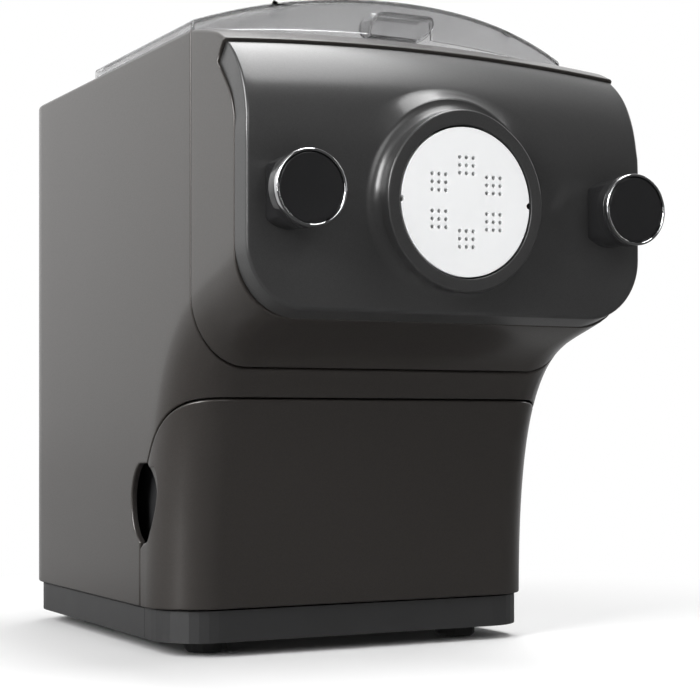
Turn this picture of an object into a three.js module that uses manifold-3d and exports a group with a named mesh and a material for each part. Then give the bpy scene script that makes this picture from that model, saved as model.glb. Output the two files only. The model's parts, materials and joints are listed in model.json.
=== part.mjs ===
import * as THREE from 'three';
import Module from 'manifold-3d';
import { mergeVertices } from 'three/addons/utils/BufferGeometryUtils.js';

// An electric pasta maker, in millimetres. X runs to the viewer's right, Y to the back, Z up.
// The origin is on the resting surface, under the middle of the machine's width and depth.

const wasm = await Module();
wasm.setup();

// Overall sizes of the housing
const width = 215;
const depth = 343;
const deckZ = 300.5;
const deckCrown = 4.7;
const crownStartZ = 251.5;
const crownFullZ = 285;
const outletZ = 217.8;
const footHeight = 7.5;
const baseTopZ = 22.8;
const baseJoint = 0.8;

// Walls, corner roundings and seams of the housing
const bodyWall = 3;
const shroudWall = 2.1;
const frontCornerRadius = 28;
const rearCornerRadius = 35;
const frontFootY = -57.2;
const neckRiseZ = 166.4;
const neckPullY = -99.9;
const neckPullZ = 145.8;
const headReachY = -150;
const headReachZ = 168.8;
const shroudSeamY = -85.2;
const drawerBackY = -19.8;
const drawerTopY = -76;
const drawerTopZ = 127.5;
const drawerSpringZ = 52.5;

// Clearances: a seam that shows, a seat, and a running fit
const seamGap = 0.6;
const seatGap = 0.3;
const runGap = 0.35;
const overrun = 4;

// Front panel, outlet and knobs
const knobReach = 24.6;
const knobX = 86.6;
const panelRim = 12.5;
const outletRadius = 35.5;
const discRadius = 34.7;
const tubeRadius = 38.6;
const tubeBore = 30;

// Lid and mixing chamber
const lidPeakZ = 322.5;
const lidRearPeakZ = 313;
const lidSideZ = 306.3;
const lidHalfWidth = 105;
const lidFrontY = -98.2;
const lidFrontEndY = -81;
const lidBackY = 54;
const lidWall = 2.4;
const chamberRadius = 62;
const chamberFrontY = -72;
const chamberBackY = 42;
const chamberWall = 3;

// Gear train from the motor to the mixing shaft
const shaftRadius = 8;
const outputTeeth = 48;
const outputPinionTeeth = 12;
const outputModule = 2.5;
const motorGearTeeth = 48;
const motorPinionTeeth = 11;
const motorModule = 2;
const gearPlateY = 100;
const gearPlateWall = 4;
const gearRoom = 34;
const motorRadius = 38;

// Fineness of round shapes
const roundSteps = 26;
const innerSteps = 18;
const smallSteps = 12;
const pinSteps = 8;
const holeSteps = 4;
const crownSteps = 6;
const curveSteps = 7;
const cornerSteps = 4;
const filletSteps = 3;

// Places worked out from the sizes above
const halfWidth = width / 2;
const backY = depth / 2;
const knobFaceY = -depth / 2;
const panelY = knobFaceY + knobReach;
const shroudEdgeY = panelY + panelRim;
const bodyBottomZ = baseTopZ + baseJoint;
const idlerZ = outletZ - ((outputTeeth + outputPinionTeeth) * outputModule) / 2;
const motorZ = idlerZ - ((motorGearTeeth + motorPinionTeeth) * motorModule) / 2;
const gearCoverY = gearPlateY + gearPlateWall + gearRoom;
const quarterTurn = Math.PI / 2;
const fullTurn = Math.PI * 2;

// Finishes, from the photograph
function finish(color, roughness, metalness = 0, opacity = 1) {
  return { color, roughness, metalness, opacity, transparent: opacity < 1 };
}

const finishes = {
  bodyGrey: finish('#6f6c69', 0.42, 0.3),
  panelGrey: finish('#3a3b3c', 0.32, 0.55),
  baseBlack: finish('#1c1c1b', 0.6),
  innerBlack: finish('#141414', 0.7),
  knobBlack: finish('#0d0d0e', 0.16),
  chrome: finish('#d8d9da', 0.12, 1),
  discWhite: finish('#e4e4e2', 0.45),
  smokyClear: finish('#b9bcbc', 0.08, 0, 0.45),
  steel: finish('#a9abad', 0.3, 0.9),
  brass: finish('#b08d4a', 0.35, 0.9),
  gearNylon: finish('#cfc9b4', 0.55),
  rubber: finish('#1a1a1a', 0.85),
  boardGreen: finish('#1e4a31', 0.55),
  glassBlack: finish('#0a0c0e', 0.1),
  castAlloy: finish('#8b8d8f', 0.5, 0.7),
};

// Turns the faces of a closed geometry outwards
function facingOut(geometry) {
  const points = geometry.attributes.position;
  const order = geometry.index.array;
  const [a, b, c] = [new THREE.Vector3(), new THREE.Vector3(), new THREE.Vector3()];
  let volume = 0;
  for (let i = 0; i < order.length; i += 3) {
    a.fromBufferAttribute(points, order[i]);
    b.fromBufferAttribute(points, order[i + 1]);
    c.fromBufferAttribute(points, order[i + 2]);
    volume += a.dot(b.cross(c));
  }
  if (volume < 0) {
    order.reverse();
  }
  return geometry;
}

// A closed geometry as a solid that can be cut and joined
function solid(geometry) {
  const bare = geometry.clone();
  bare.deleteAttribute('normal');
  bare.deleteAttribute('uv');
  const merged = mergeVertices(bare);
  const kept = [];
  const order = merged.index.array;
  for (let i = 0; i < order.length; i += 3) {
    const [a, b, c] = [order[i], order[i + 1], order[i + 2]];
    if (a !== b && b !== c && c !== a) {
      kept.push(a, b, c);
    }
  }
  merged.setIndex(new THREE.BufferAttribute(Uint32Array.from(kept), 1));
  facingOut(merged);
  const vertProperties = Float32Array.from(merged.attributes.position.array);
  const triVerts = Uint32Array.from(merged.index.array);
  return new wasm.Manifold(new wasm.Mesh({ numProp: 3, vertProperties, triVerts }));
}

function geometryOf(piece) {
  const mesh = piece.getMesh();
  const geometry = new THREE.BufferGeometry();
  geometry.setAttribute('position', new THREE.BufferAttribute(Float32Array.from(mesh.vertProperties), 3));
  geometry.setIndex(new THREE.BufferAttribute(Uint32Array.from(mesh.triVerts), 1));
  geometry.computeVertexNormals();
  return geometry;
}

const machine = new THREE.Group();

// Adds one named piece to the machine
function add(name, piece, look) {
  const mesh = new THREE.Mesh(geometryOf(piece), new THREE.MeshStandardMaterial(look));
  mesh.name = name;
  machine.add(mesh);
  return mesh;
}

function span(a, b) {
  return [Math.min(a, b), Math.max(a, b)];
}

function joined(pieces) {
  return pieces.reduce((whole, piece) => whole.add(piece));
}

function cutBy(piece, cutters) {
  return cutters.reduce((rest, cutter) => rest.subtract(cutter), piece);
}

// Frames in which flat outlines are drawn
const sideFrame = new THREE.Matrix4().makeBasis(
  new THREE.Vector3(0, 1, 0), new THREE.Vector3(0, 0, 1), new THREE.Vector3(1, 0, 0));
const frontFrame = new THREE.Matrix4().makeBasis(
  new THREE.Vector3(1, 0, 0), new THREE.Vector3(0, 0, 1), new THREE.Vector3(0, -1, 0));

function shapeOf(points) {
  return new THREE.Shape(points.map(([u, v]) => new THREE.Vector2(u, v)));
}

// Height that the crowned deck adds at a place across the width
function crownAt(x) {
  const share = Math.min(Math.abs(x) / halfWidth, 1);
  return deckCrown * (1 - share * share);
}

function crownedZ(x, z) {
  const ramp = THREE.MathUtils.clamp((z - crownStartZ) / (crownFullZ - crownStartZ), 0, 1);
  return z + crownAt(x) * ramp;
}

function crowned(geometry) {
  const points = geometry.attributes.position;
  for (let i = 0; i < points.count; i += 1) {
    points.setZ(i, crownedZ(points.getX(i), points.getZ(i)));
  }
  return geometry;
}

// An outline in Y and Z, run across the width and crowned with the deck
function acrossWidth(points, half = halfWidth + overrun, steps = crownSteps) {
  const settings = { depth: half * 2, bevelEnabled: false, steps };
  const geometry = new THREE.ExtrudeGeometry(shapeOf(points), settings);
  geometry.applyMatrix4(sideFrame);
  geometry.translate(-half, 0, 0);
  return solid(crowned(geometry));
}

// An outline in X and Z, run from a front place to a back place
function throughDepth(shape, frontY, endY, steps = smallSteps) {
  const settings = { depth: endY - frontY, bevelEnabled: false, curveSegments: steps };
  const geometry = new THREE.ExtrudeGeometry(shape, settings);
  geometry.applyMatrix4(frontFrame);
  geometry.translate(0, endY, 0);
  return solid(geometry);
}

// An outline in X and Y, run upwards
function upwards(shape, lowZ, highZ, steps = cornerSteps) {
  const settings = { depth: highZ - lowZ, bevelEnabled: false, curveSegments: steps };
  const geometry = new THREE.ExtrudeGeometry(shape, settings);
  geometry.translate(0, 0, lowZ);
  return solid(geometry);
}

// An outline in Y and Z, run between two places across the width, left uncrowned
function sideways(shape, lowX, highX, steps = smallSteps) {
  const settings = { depth: highX - lowX, bevelEnabled: false, curveSegments: steps };
  const geometry = new THREE.ExtrudeGeometry(shape, settings);
  geometry.applyMatrix4(sideFrame);
  geometry.translate(lowX, 0, 0);
  return solid(geometry);
}

function block([lowX, highX], [lowY, highY], [lowZ, highZ]) {
  const geometry = new THREE.BoxGeometry(highX - lowX, highY - lowY, highZ - lowZ);
  geometry.translate((lowX + highX) / 2, (lowY + highY) / 2, (lowZ + highZ) / 2);
  return solid(geometry);
}

// A slab with the deck's crown, between two heights measured at the side walls
function crownedSlab([lowX, highX], [lowY, highY], [lowZ, highZ]) {
  const band = acrossWidth([[lowY, lowZ], [highY, lowZ], [highY, highZ], [lowY, highZ]]);
  const clear = deckCrown + overrun;
  const heights = [lowZ - clear, highZ + clear];
  return band.intersect(block([lowX, highX], [lowY - overrun, highY + overrun], heights));
}

// A turned piece on an axis along Y; the profile holds radius and Y
function turned(profile, x, z, steps = roundSteps) {
  const points = profile.map(([radius, y]) => new THREE.Vector2(radius, y));
  const geometry = new THREE.LatheGeometry(points, steps);
  geometry.translate(x, 0, z);
  return solid(geometry);
}

// A turned piece on an upright axis; the profile holds radius and Z
function turnedUpright(profile, x, y, steps = smallSteps) {
  const points = profile.map(([radius, z]) => new THREE.Vector2(radius, z));
  const geometry = new THREE.LatheGeometry(points, steps);
  geometry.rotateX(quarterTurn);
  geometry.translate(x, y, 0);
  return solid(geometry);
}

function rod(radius, frontY, endY, x, z, steps = roundSteps) {
  return turned([[0, frontY], [radius, frontY], [radius, endY], [0, endY]], x, z, steps);
}

function sleeve(bore, radius, frontY, endY, x, z, steps = roundSteps) {
  const profile = [[bore, frontY], [radius, frontY], [radius, endY], [bore, endY], [bore, frontY]];
  return turned(profile, x, z, steps);
}

function post(radius, lowZ, highZ, x, y, steps = smallSteps) {
  return turnedUpright([[0, lowZ], [radius, lowZ], [radius, highZ], [0, highZ]], x, y, steps);
}

function roundedRectangle(halfX, halfY, radius, centreX = 0, centreY = 0) {
  const shape = new THREE.Shape();
  const [inX, inY] = [halfX - radius, halfY - radius];
  shape.absarc(centreX + inX, centreY + inY, radius, 0, quarterTurn);
  shape.absarc(centreX - inX, centreY + inY, radius, quarterTurn, Math.PI);
  shape.absarc(centreX - inX, centreY - inY, radius, Math.PI, Math.PI + quarterTurn);
  shape.absarc(centreX + inX, centreY - inY, radius, Math.PI + quarterTurn, fullTurn);
  return shape;
}

function circlePath(x, y, radius) {
  const path = new THREE.Path();
  path.absarc(x, y, radius, 0, fullTurn, true);
  return path;
}

const seenFromSide = (point) => new THREE.Vector2(point.y, point.z);
const seenFromFront = (point) => new THREE.Vector2(point.x, point.z);

// A closed solid through rings of equal point count; view draws the end rings flat
function loft(rings, view) {
  const count = rings[0].length;
  const positions = [];
  const order = [];
  for (const ring of rings) {
    for (const point of ring) {
      positions.push(point.x, point.y, point.z);
    }
  }
  for (let r = 0; r < rings.length - 1; r += 1) {
    for (let i = 0; i < count; i += 1) {
      const next = (i + 1) % count;
      const [a, b] = [r * count + i, r * count + next];
      const [c, d] = [a + count, b + count];
      order.push(a, b, d, a, d, c);
    }
  }
  const clockwise = THREE.ShapeUtils.isClockWise(rings[0].map(view));
  for (const index of [0, rings.length - 1]) {
    const reversed = clockwise === index > 0;
    for (const face of THREE.ShapeUtils.triangulateShape(rings[index].map(view), [])) {
      const corners = face.map((corner) => corner + index * count);
      order.push(...(reversed ? corners.reverse() : corners));
    }
  }
  const geometry = new THREE.BufferGeometry();
  geometry.setAttribute('position', new THREE.BufferAttribute(Float32Array.from(positions), 3));
  geometry.setIndex(new THREE.BufferAttribute(Uint32Array.from(order), 1));
  return solid(geometry);
}

// The housing's side profile: the front that draws in under the head
const frontCurve = new THREE.CubicBezierCurve(
  new THREE.Vector2(frontFootY, bodyBottomZ),
  new THREE.Vector2(frontFootY, neckRiseZ),
  new THREE.Vector2(neckPullY, neckPullZ),
  new THREE.Vector2(headReachY, headReachZ));

// How far a rounded end edge lies inside its flat line, at a place across the width
function roundedInset(x, radius, inset) {
  const past = Math.abs(x) - (halfWidth - radius);
  if (past <= 0) {
    return inset;
  }
  const inner = radius - inset;
  return radius - Math.sqrt(Math.max(inner * inner - past * past, 0));
}

function hullStations(inset) {
  const rearStart = halfWidth - rearCornerRadius;
  const frontStart = halfWidth - frontCornerRadius;
  const stations = [0, rearStart / 2, rearStart];
  for (let i = 0; i <= cornerSteps; i += 1) {
    stations.push(frontStart + (frontCornerRadius - inset) * Math.sin((quarterTurn * i) / cornerSteps));
  }
  const mirrored = stations.slice(1).map((x) => -x).reverse();
  return [...mirrored, ...stations];
}

function hullRing(x, inset, bottomZ) {
  const frontInset = roundedInset(x, frontCornerRadius, inset);
  const rearY = backY - roundedInset(x, rearCornerRadius, inset);
  const ring = [new THREE.Vector3(x, frontFootY + frontInset, bottomZ)];
  for (let i = 1; i <= curveSteps; i += 1) {
    const point = frontCurve.getPoint(i / curveSteps);
    const tangent = frontCurve.getTangent(i / curveSteps);
    ring.push(new THREE.Vector3(x, point.x + tangent.y * frontInset, point.y - tangent.x * frontInset));
  }
  const topZ = crownedZ(x, deckZ - inset);
  ring.push(new THREE.Vector3(x, ring[curveSteps].y, topZ));
  ring.push(new THREE.Vector3(x, rearY, topZ));
  ring.push(new THREE.Vector3(x, rearY, bottomZ));
  return ring;
}

// The whole housing as one rounded form, drawn in by an inset on every side
function hull(inset, bottomZ = bodyBottomZ) {
  return loft(hullStations(inset).map((x) => hullRing(x, inset, bottomZ)), seenFromSide);
}

// The drawer's seam on the side: straight up, then a quarter of an ellipse to the front
function drawerSeam(gap) {
  const [halfY, halfZ] = [drawerBackY - drawerTopY + gap, drawerTopZ - drawerSpringZ + gap];
  const points = [];
  for (let i = 0; i <= curveSteps; i += 1) {
    const angle = (quarterTurn * i) / curveSteps;
    points.push([drawerTopY + halfY * Math.cos(angle), drawerSpringZ + halfZ * Math.sin(angle)]);
  }
  return points;
}

// The head's front edge on the side: straight beside the panel, a thumb notch, then a top corner
const notchDepth = 19;
const cheekRise = 38.3;
const headEdgeShares = [[0, 0], [0.18, 0.27], [0.51, 0.48], [0.84, 0.64], [1, 0.76], [0.84, 0.85], [0.57, 1]];

// The head's top on the side, from the front corner back to the seam
const shoulderShares = [[0.26, 0.41], [0.67, 0.79], [1, 1]];

function headEdge(gap) {
  return headEdgeShares.map(([y, z]) => [shroudEdgeY + notchDepth * y - gap, crownStartZ + cheekRise * z]);
}

function headShoulder(lift) {
  const [cornerY, cornerZ] = headEdge(0).at(-1);
  const run = shroudSeamY - cornerY;
  const rise = deckZ - cornerZ;
  return shoulderShares.map(([y, z]) => [cornerY + run * y, cornerZ + rise * z + lift]);
}

// Openings in the deck and in the back wall
const deckOpeningX = 68;
const deckOpeningFrontY = -71;
const deckOpeningBackY = 41;
const panelHoleX = 84;
const panelHoleFrontY = 80;
const panelHoleBackY = 148;
const ventCount = 7;
const ventPitch = 11;
const ventWidth = 4;
const ventLowZ = 66;
const ventHighZ = 112;
const switchX = 62;
const switchZ = 48;
const switchHalfX = 14;
const switchHalfZ = 10;
const glandRadius = 9;

// Finger recess in each side wall, behind the drawer's edge
const fingerY = -24;
const fingerZ = 76;
const fingerRadiusY = 16;
const fingerRadiusZ = 21;

function bodyRegion() {
  const seam = drawerSeam(seamGap / 2);
  const frontY = shroudSeamY + seamGap / 4;
  const low = bodyBottomZ - overrun;
  const topZ = deckZ + deckCrown + overrun;
  return acrossWidth([
    [backY + overrun, low],
    [seam[0][0], low],
    ...seam,
    [frontY, drawerTopZ + seamGap / 2],
    [frontY, topZ],
    [backY + overrun, topZ],
  ], halfWidth + overrun, 1);
}

function vents() {
  const slots = [];
  for (let i = 0; i < ventCount; i += 1) {
    const x = (i - (ventCount - 1) / 2) * ventPitch;
    const slot = roundedRectangle(ventWidth / 2, (ventHighZ - ventLowZ) / 2, ventWidth / 2, x,
      (ventHighZ + ventLowZ) / 2);
    slots.push(throughDepth(slot, backY - bodyWall - overrun, backY + overrun, 1));
  }
  return slots;
}

function rearOpenings() {
  const [frontY, endY] = [backY - bodyWall - overrun, backY + overrun];
  return [
    ...vents(),
    block([switchX - switchHalfX, switchX + switchHalfX], [frontY, endY],
      [switchZ - switchHalfZ, switchZ + switchHalfZ]),
    rod(glandRadius, frontY, endY, -switchX, switchZ, smallSteps),
  ];
}

function deckOpenings() {
  const [low, high] = [deckZ - bodyWall - overrun, deckZ + deckCrown + overrun];
  return [
    block([-deckOpeningX, deckOpeningX], [deckOpeningFrontY, deckOpeningBackY], [low, high]),
    block([-panelHoleX, panelHoleX], [panelHoleFrontY, panelHoleBackY], [low, high]),
  ];
}

function fingerRecess() {
  const shape = new THREE.Shape();
  shape.absellipse(fingerY, fingerZ, fingerRadiusY, fingerRadiusZ, 0, fullTurn);
  return sideways(shape, -halfWidth - overrun, halfWidth + overrun);
}

function bodyShell() {
  const shell = hull(0).intersect(bodyRegion()).subtract(hull(bodyWall, bodyBottomZ - overrun));
  return cutBy(shell, [...rearOpenings(), ...deckOpenings(), fingerRecess()]);
}

add('body_shell', bodyShell(), finishes.bodyGrey);

// Head shroud: wraps the front of the machine and carries the panel's edge
function headRegion() {
  const backEdgeY = shroudSeamY - seamGap / 4;
  const low = drawerTopZ;
  const shoulderTop = headShoulder(0);
  shoulderTop[shoulderTop.length - 1][0] = backEdgeY;
  return acrossWidth([[backEdgeY, low], [shroudEdgeY, low], ...headEdge(0), ...shoulderTop]);
}

function headHollow() {
  const low = drawerTopZ - overrun;
  const [cornerY, cornerZ] = headEdge(0).at(-1);
  const shoulderLow = headShoulder(-shroudWall);
  const [lastY, lastZ] = shoulderLow.at(-1);
  return acrossWidth([
    [lastY + overrun, low],
    [shroudEdgeY - overrun, low],
    [shroudEdgeY - overrun, cornerZ - shroudWall - overrun],
    [cornerY - overrun, cornerZ - shroudWall - overrun / 2],
    [cornerY, cornerZ - shroudWall],
    ...shoulderLow,
    [lastY + overrun, lastZ],
  ]);
}

function headShroud() {
  const hollow = hull(shroudWall, bodyBottomZ - overrun).intersect(headHollow());
  return hull(0).intersect(headRegion()).subtract(hollow);
}

add('head_shroud', headShroud(), finishes.bodyGrey);

// Front bulkhead: closes the head behind the panel and holds the knobs' threaded bushes
const bulkheadY = -128;
const bulkheadWall = 4;
const bulkheadTopZ = 272;
const bulkheadTopHalf = 101;
const bushRadius = 9;
const bushLength = 16;
const studRadius = 4.5;
const bushWall = 4.2;

function frontBulkhead() {
  const [frontY, endY] = [bulkheadY, bulkheadY + bulkheadWall];
  const slab = block([-halfWidth, halfWidth], [frontY, endY], [drawerTopZ, bulkheadTopZ]);
  const shelf = block([-bulkheadTopHalf, bulkheadTopHalf], [frontY, endY], [drawerTopZ, bulkheadTopZ]);
  const low = block([-halfWidth, halfWidth], [frontY, endY], [drawerTopZ, crownStartZ]);
  const plate = hull(shroudWall + seatGap, bodyBottomZ - overrun).intersect(slab).intersect(shelf.add(low));
  const holes = [rod(tubeRadius + runGap * 2, frontY - overrun, endY + overrun, 0, outletZ)];
  for (const x of [-knobX, knobX]) {
    holes.push(rod(bushRadius + seatGap, frontY - overrun, endY + overrun, x, outletZ, pinSteps));
  }
  return cutBy(plate, holes);
}

function threadedBush(x) {
  const flangeRadius = bushRadius + bushWall / 2;
  const faceY = bulkheadY - seatGap;
  const flangeY = faceY - bushWall / 2;
  const bore = studRadius + runGap;
  const profile = [
    [bore, flangeY], [flangeRadius, flangeY], [flangeRadius, faceY], [bushRadius, faceY],
    [bushRadius, flangeY + bushLength], [bore, flangeY + bushLength], [bore, flangeY],
  ];
  return turned(profile, x, outletZ, pinSteps);
}

add('front_bulkhead', frontBulkhead(), finishes.innerBlack);
add('left_knob_bush', threadedBush(-knobX), finishes.brass);
add('right_knob_bush', threadedBush(knobX), finishes.brass);

// Front panel: a curved cover with a bevelled edge and the outlet boss
const panelWall = 3;
const panelHalf = 106.6;
const panelTopHalf = 105.2;
const panelRearHalf = 107.2;
const panelBottomZ = 166.7;
const panelFlare = 3.8;
const panelCornerRadius = 29.5;
const panelBevel = 1.4;
const panelCurveStartZ = 237;
const panelCurvePullZ = 263.5;
const panelCurveY = -138.4;
const panelCurveZ = 280.8;
const panelTopY = -117.7;
const panelTopZ = 291.5;
const bossRadius = 41.7;
const bossFootRadius = 50;
const bossReach = 11.1;
const bossBevel = 0.9;
const bossLip = 3.2;
const studHole = 6;

const panelCurve = new THREE.CubicBezierCurve(
  new THREE.Vector2(panelY, panelCurveStartZ),
  new THREE.Vector2(panelY, panelCurvePullZ),
  new THREE.Vector2(panelCurveY, panelCurveZ),
  new THREE.Vector2(panelTopY, panelTopZ));

// The panel's outline from the front, with its two lower corners rounded
function panelRing(y, half, topHalf, bottomZ, radius) {
  const topZ = panelTopZ + deckCrown + overrun;
  const ring = [new THREE.Vector3(topHalf, y, topZ), new THREE.Vector3(-topHalf, y, topZ)];
  ring.push(new THREE.Vector3(-half, y, panelCurveStartZ));
  for (let i = 0; i <= cornerSteps; i += 1) {
    const angle = Math.PI + (quarterTurn * i) / cornerSteps;
    ring.push(new THREE.Vector3(-half + radius + radius * Math.cos(angle), y,
      bottomZ + radius + radius * Math.sin(angle)));
  }
  for (let i = 0; i <= cornerSteps; i += 1) {
    const angle = Math.PI + quarterTurn + (quarterTurn * i) / cornerSteps;
    ring.push(new THREE.Vector3(half - radius + radius * Math.cos(angle), y,
      bottomZ + radius + radius * Math.sin(angle)));
  }
  ring.push(new THREE.Vector3(half, y, panelCurveStartZ));
  return ring;
}

// The outline at one depth; it widens a little and drops towards the head
function panelOutline(y, inset, flareShare) {
  const half = panelHalf + (panelRearHalf - panelHalf) * flareShare - inset;
  const bottomZ = panelBottomZ - panelFlare * flareShare + inset;
  return panelRing(y, half, panelTopHalf - inset, bottomZ, panelCornerRadius - inset);
}

function panelBlock() {
  const endY = shroudEdgeY + notchDepth + overrun;
  return loft([
    panelOutline(panelY, panelBevel, 0),
    panelOutline(panelY + panelBevel, 0, 0),
    panelOutline(shroudEdgeY, 0, 1),
    panelOutline(endY, 0, 1),
  ], seenFromFront);
}

function panelHollow() {
  const endY = shroudEdgeY + notchDepth + overrun * 2;
  const inner = loft([
    panelOutline(panelY + panelWall, panelWall, 0),
    panelOutline(shroudEdgeY, panelWall, 1),
    panelOutline(endY, panelWall, 1),
  ], seenFromFront);
  return inner.intersect(panelProfile(panelWall));
}

// The side profile across the width: a flat front that curves back at the top
function panelProfile(inset) {
  const low = panelBottomZ - panelFlare - overrun;
  const endY = shroudEdgeY + notchDepth + overrun;
  const points = [[endY, low], [panelY + inset - (inset > 0 ? 0 : overrun), low]];
  points.push([points[1][0], panelCurveStartZ]);
  for (let i = inset > 0 ? 1 : 0; i <= curveSteps; i += 1) {
    const point = panelCurve.getPoint(i / curveSteps);
    const tangent = panelCurve.getTangent(i / curveSteps);
    points.push([point.x + tangent.y * inset, point.y - tangent.x * inset]);
  }
  points.push([endY, points.at(-1)[1]]);
  return acrossWidth(points);
}

// Everything from the head's front edge backwards, which the panel stops short of
function behindPanel() {
  const edge = headEdge(seamGap);
  const [cornerY] = edge.at(-1);
  const [low, topZ] = [panelBottomZ - panelFlare - overrun * 2, deckZ + deckCrown + overrun];
  const endY = shroudEdgeY + notchDepth + overrun * 2;
  return acrossWidth([[endY, low], [edge[0][0], low], ...edge, [cornerY, topZ], [endY, topZ]]);
}

function outletBoss() {
  const faceY = panelY - bossReach;
  const endY = panelY + panelWall;
  const fillet = bossFootRadius - bossRadius - bossBevel;
  const profile = [[outletRadius, endY], [bossFootRadius, endY]];
  for (let i = 0; i <= filletSteps; i += 1) {
    const angle = (quarterTurn * i) / filletSteps;
    const rise = (fillet * (1 - Math.cos(angle)) * 2) / 3;
    profile.push([bossFootRadius - fillet * Math.sin(angle), panelY - rise]);
  }
  profile.push([bossRadius, faceY + bossBevel], [bossRadius - bossBevel, faceY]);
  profile.push([outletRadius + bossBevel / 2, faceY], [outletRadius, faceY + bossBevel / 2]);
  profile.push([outletRadius, endY]);
  return turned(profile, 0, outletZ);
}

function frontPanel() {
  const shell = panelBlock().intersect(panelProfile(0)).subtract(panelHollow()).subtract(behindPanel());
  const faceY = panelY - bossReach;
  const holes = [rod(tubeRadius + runGap * 2, faceY + bossLip, panelY + panelWall + overrun, 0, outletZ)];
  for (const x of [-knobX, knobX]) {
    holes.push(rod(studHole, panelY - overrun, panelY + panelWall + overrun, x, outletZ, smallSteps));
  }
  const opened = shell.subtract(rod(outletRadius, faceY - overrun, panelY + panelWall + overrun, 0, outletZ));
  return cutBy(opened.add(outletBoss()), holes);
}

add('front_panel', frontPanel(), finishes.panelGrey);

// Shaping disc: a stepped white disc with six fields of small holes
const discThickness = 5.6;
const discInset = 0.3;
const discFieldWall = 3;
const discFieldRadius = 27;
const discFields = 6;
const discFieldCentre = 17;
const discRows = 3;
const discPitch = 3.65;
const discHoleRadius = 0.9;
const discNotchRadius = 1.5;

function shapingDisc() {
  const frontY = panelY - bossReach + discInset;
  const [stepY, endY] = [panelY - bossReach + bossLip + seatGap, frontY + discThickness];
  const body = turned([
    [0, frontY], [discRadius, frontY], [discRadius, stepY], [tubeRadius, stepY], [tubeRadius, endY],
    [discFieldRadius, endY], [discFieldRadius, frontY + discFieldWall], [0, frontY + discFieldWall],
  ], 0, outletZ);
  const cutters = [];
  for (const x of [-discRadius, discRadius]) {
    cutters.push(rod(discNotchRadius, frontY - overrun, stepY, x, outletZ, pinSteps));
  }
  for (let field = 0; field < discFields; field += 1) {
    const angle = quarterTurn + (fullTurn * field) / discFields;
    const [centreX, centreZ] = [discFieldCentre * Math.cos(angle), discFieldCentre * Math.sin(angle)];
    for (let index = 0; index < discRows * discRows; index += 1) {
      const x = centreX + ((index % discRows) - (discRows - 1) / 2) * discPitch;
      const z = outletZ + centreZ + (Math.floor(index / discRows) - (discRows - 1) / 2) * discPitch;
      cutters.push(rod(discHoleRadius, frontY - overrun, endY + overrun, x, z, holeSteps));
    }
  }
  return cutBy(body, cutters);
}

add('shaping_disc', shapingDisc(), finishes.discWhite);

// Clamping knobs: a grip with two pinch flats, a chromed ring, a glossy cap and a threaded stud
const knobRadius = 17.1;
const knobNeckRadius = 16.4;
const knobFlatHalf = 11.1;
const knobFlange = 8.5;
const knobRingWidth = 1.5;
const knobRingDepth = 1.3;
const knobCapRecess = 0.4;
const studReach = 15;
const studCollar = 8;
const studCollarWall = 2;
const studGripDepth = 9;

function knobGrip(x) {
  const flangeY = knobFaceY + knobFlange;
  const footY = panelY - runGap;
  const rimY = knobFaceY + knobRingDepth;
  const neck = rod(knobNeckRadius, flangeY, footY, x, outletZ, innerSteps);
  const flats = block([x - knobFlatHalf, x + knobFlatHalf], [flangeY - overrun, footY],
    [outletZ - knobRadius, outletZ + knobRadius]);
  const flange = turned([
    [0, rimY], [knobRadius, rimY], [knobRadius, flangeY],
    [knobRadius - knobRingWidth, flangeY + knobRingWidth], [0, flangeY + knobRingWidth],
  ], x, outletZ, innerSteps);
  const socketY = footY - studGripDepth - seatGap;
  const socket = rod(studRadius + seatGap, socketY, footY + overrun, x, outletZ, pinSteps);
  return neck.intersect(flats).add(flange).subtract(socket);
}

function knobRing(x) {
  const [frontY, endY] = [knobFaceY, knobFaceY + knobRingDepth - seatGap];
  const inner = knobRadius - knobRingWidth;
  return turned([
    [inner, frontY], [knobRadius - knobRingWidth / 2, frontY], [knobRadius, frontY + knobRingWidth / 2],
    [knobRadius, endY], [inner, endY], [inner, frontY],
  ], x, outletZ, innerSteps);
}

function knobCap(x) {
  const radius = knobRadius - knobRingWidth - seatGap;
  const frontY = knobFaceY + knobCapRecess;
  const endY = knobFaceY + knobRingDepth - seatGap;
  return rod(radius, frontY, endY, x, outletZ, innerSteps);
}

function knobStud(x) {
  const frontY = panelY - runGap - studGripDepth;
  const collarY = panelY + panelWall + runGap;
  const endY = bulkheadY + studReach;
  return turned([
    [0, frontY], [studRadius, frontY], [studRadius, collarY], [studCollar, collarY],
    [studCollar, collarY + studCollarWall], [studRadius, collarY + studCollarWall],
    [studRadius, endY - studRadius / 2], [studRadius / 2, endY], [0, endY],
  ], x, outletZ, pinSteps);
}

for (const [side, x] of [['left', -knobX], ['right', knobX]]) {
  add(`${side}_knob_grip`, knobGrip(x), finishes.knobBlack);
  add(`${side}_knob_ring`, knobRing(x), finishes.chrome);
  add(`${side}_knob_cap`, knobCap(x), finishes.knobBlack);
  add(`${side}_knob_stud`, knobStud(x), finishes.steel);
}

// Base: an inverted tray on four feet, closed below by a cover
const baseWall = 3;
const baseInset = 2.5;
const baseRearInset = 2.5;
const baseFrontY = -48;
const baseFrontHalf = 96;
const baseFrontRadius = 17;
const coverWall = 2;
const footRadius = 10.8;
const footStemRadius = 4.5;
const footX = 74;
const footFrontY = -25;
const footRearY = 132;
const cellLength = 40;
const cellWidth = 12;
const cellHeight = 6;
const lipHeight = 5;

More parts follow.
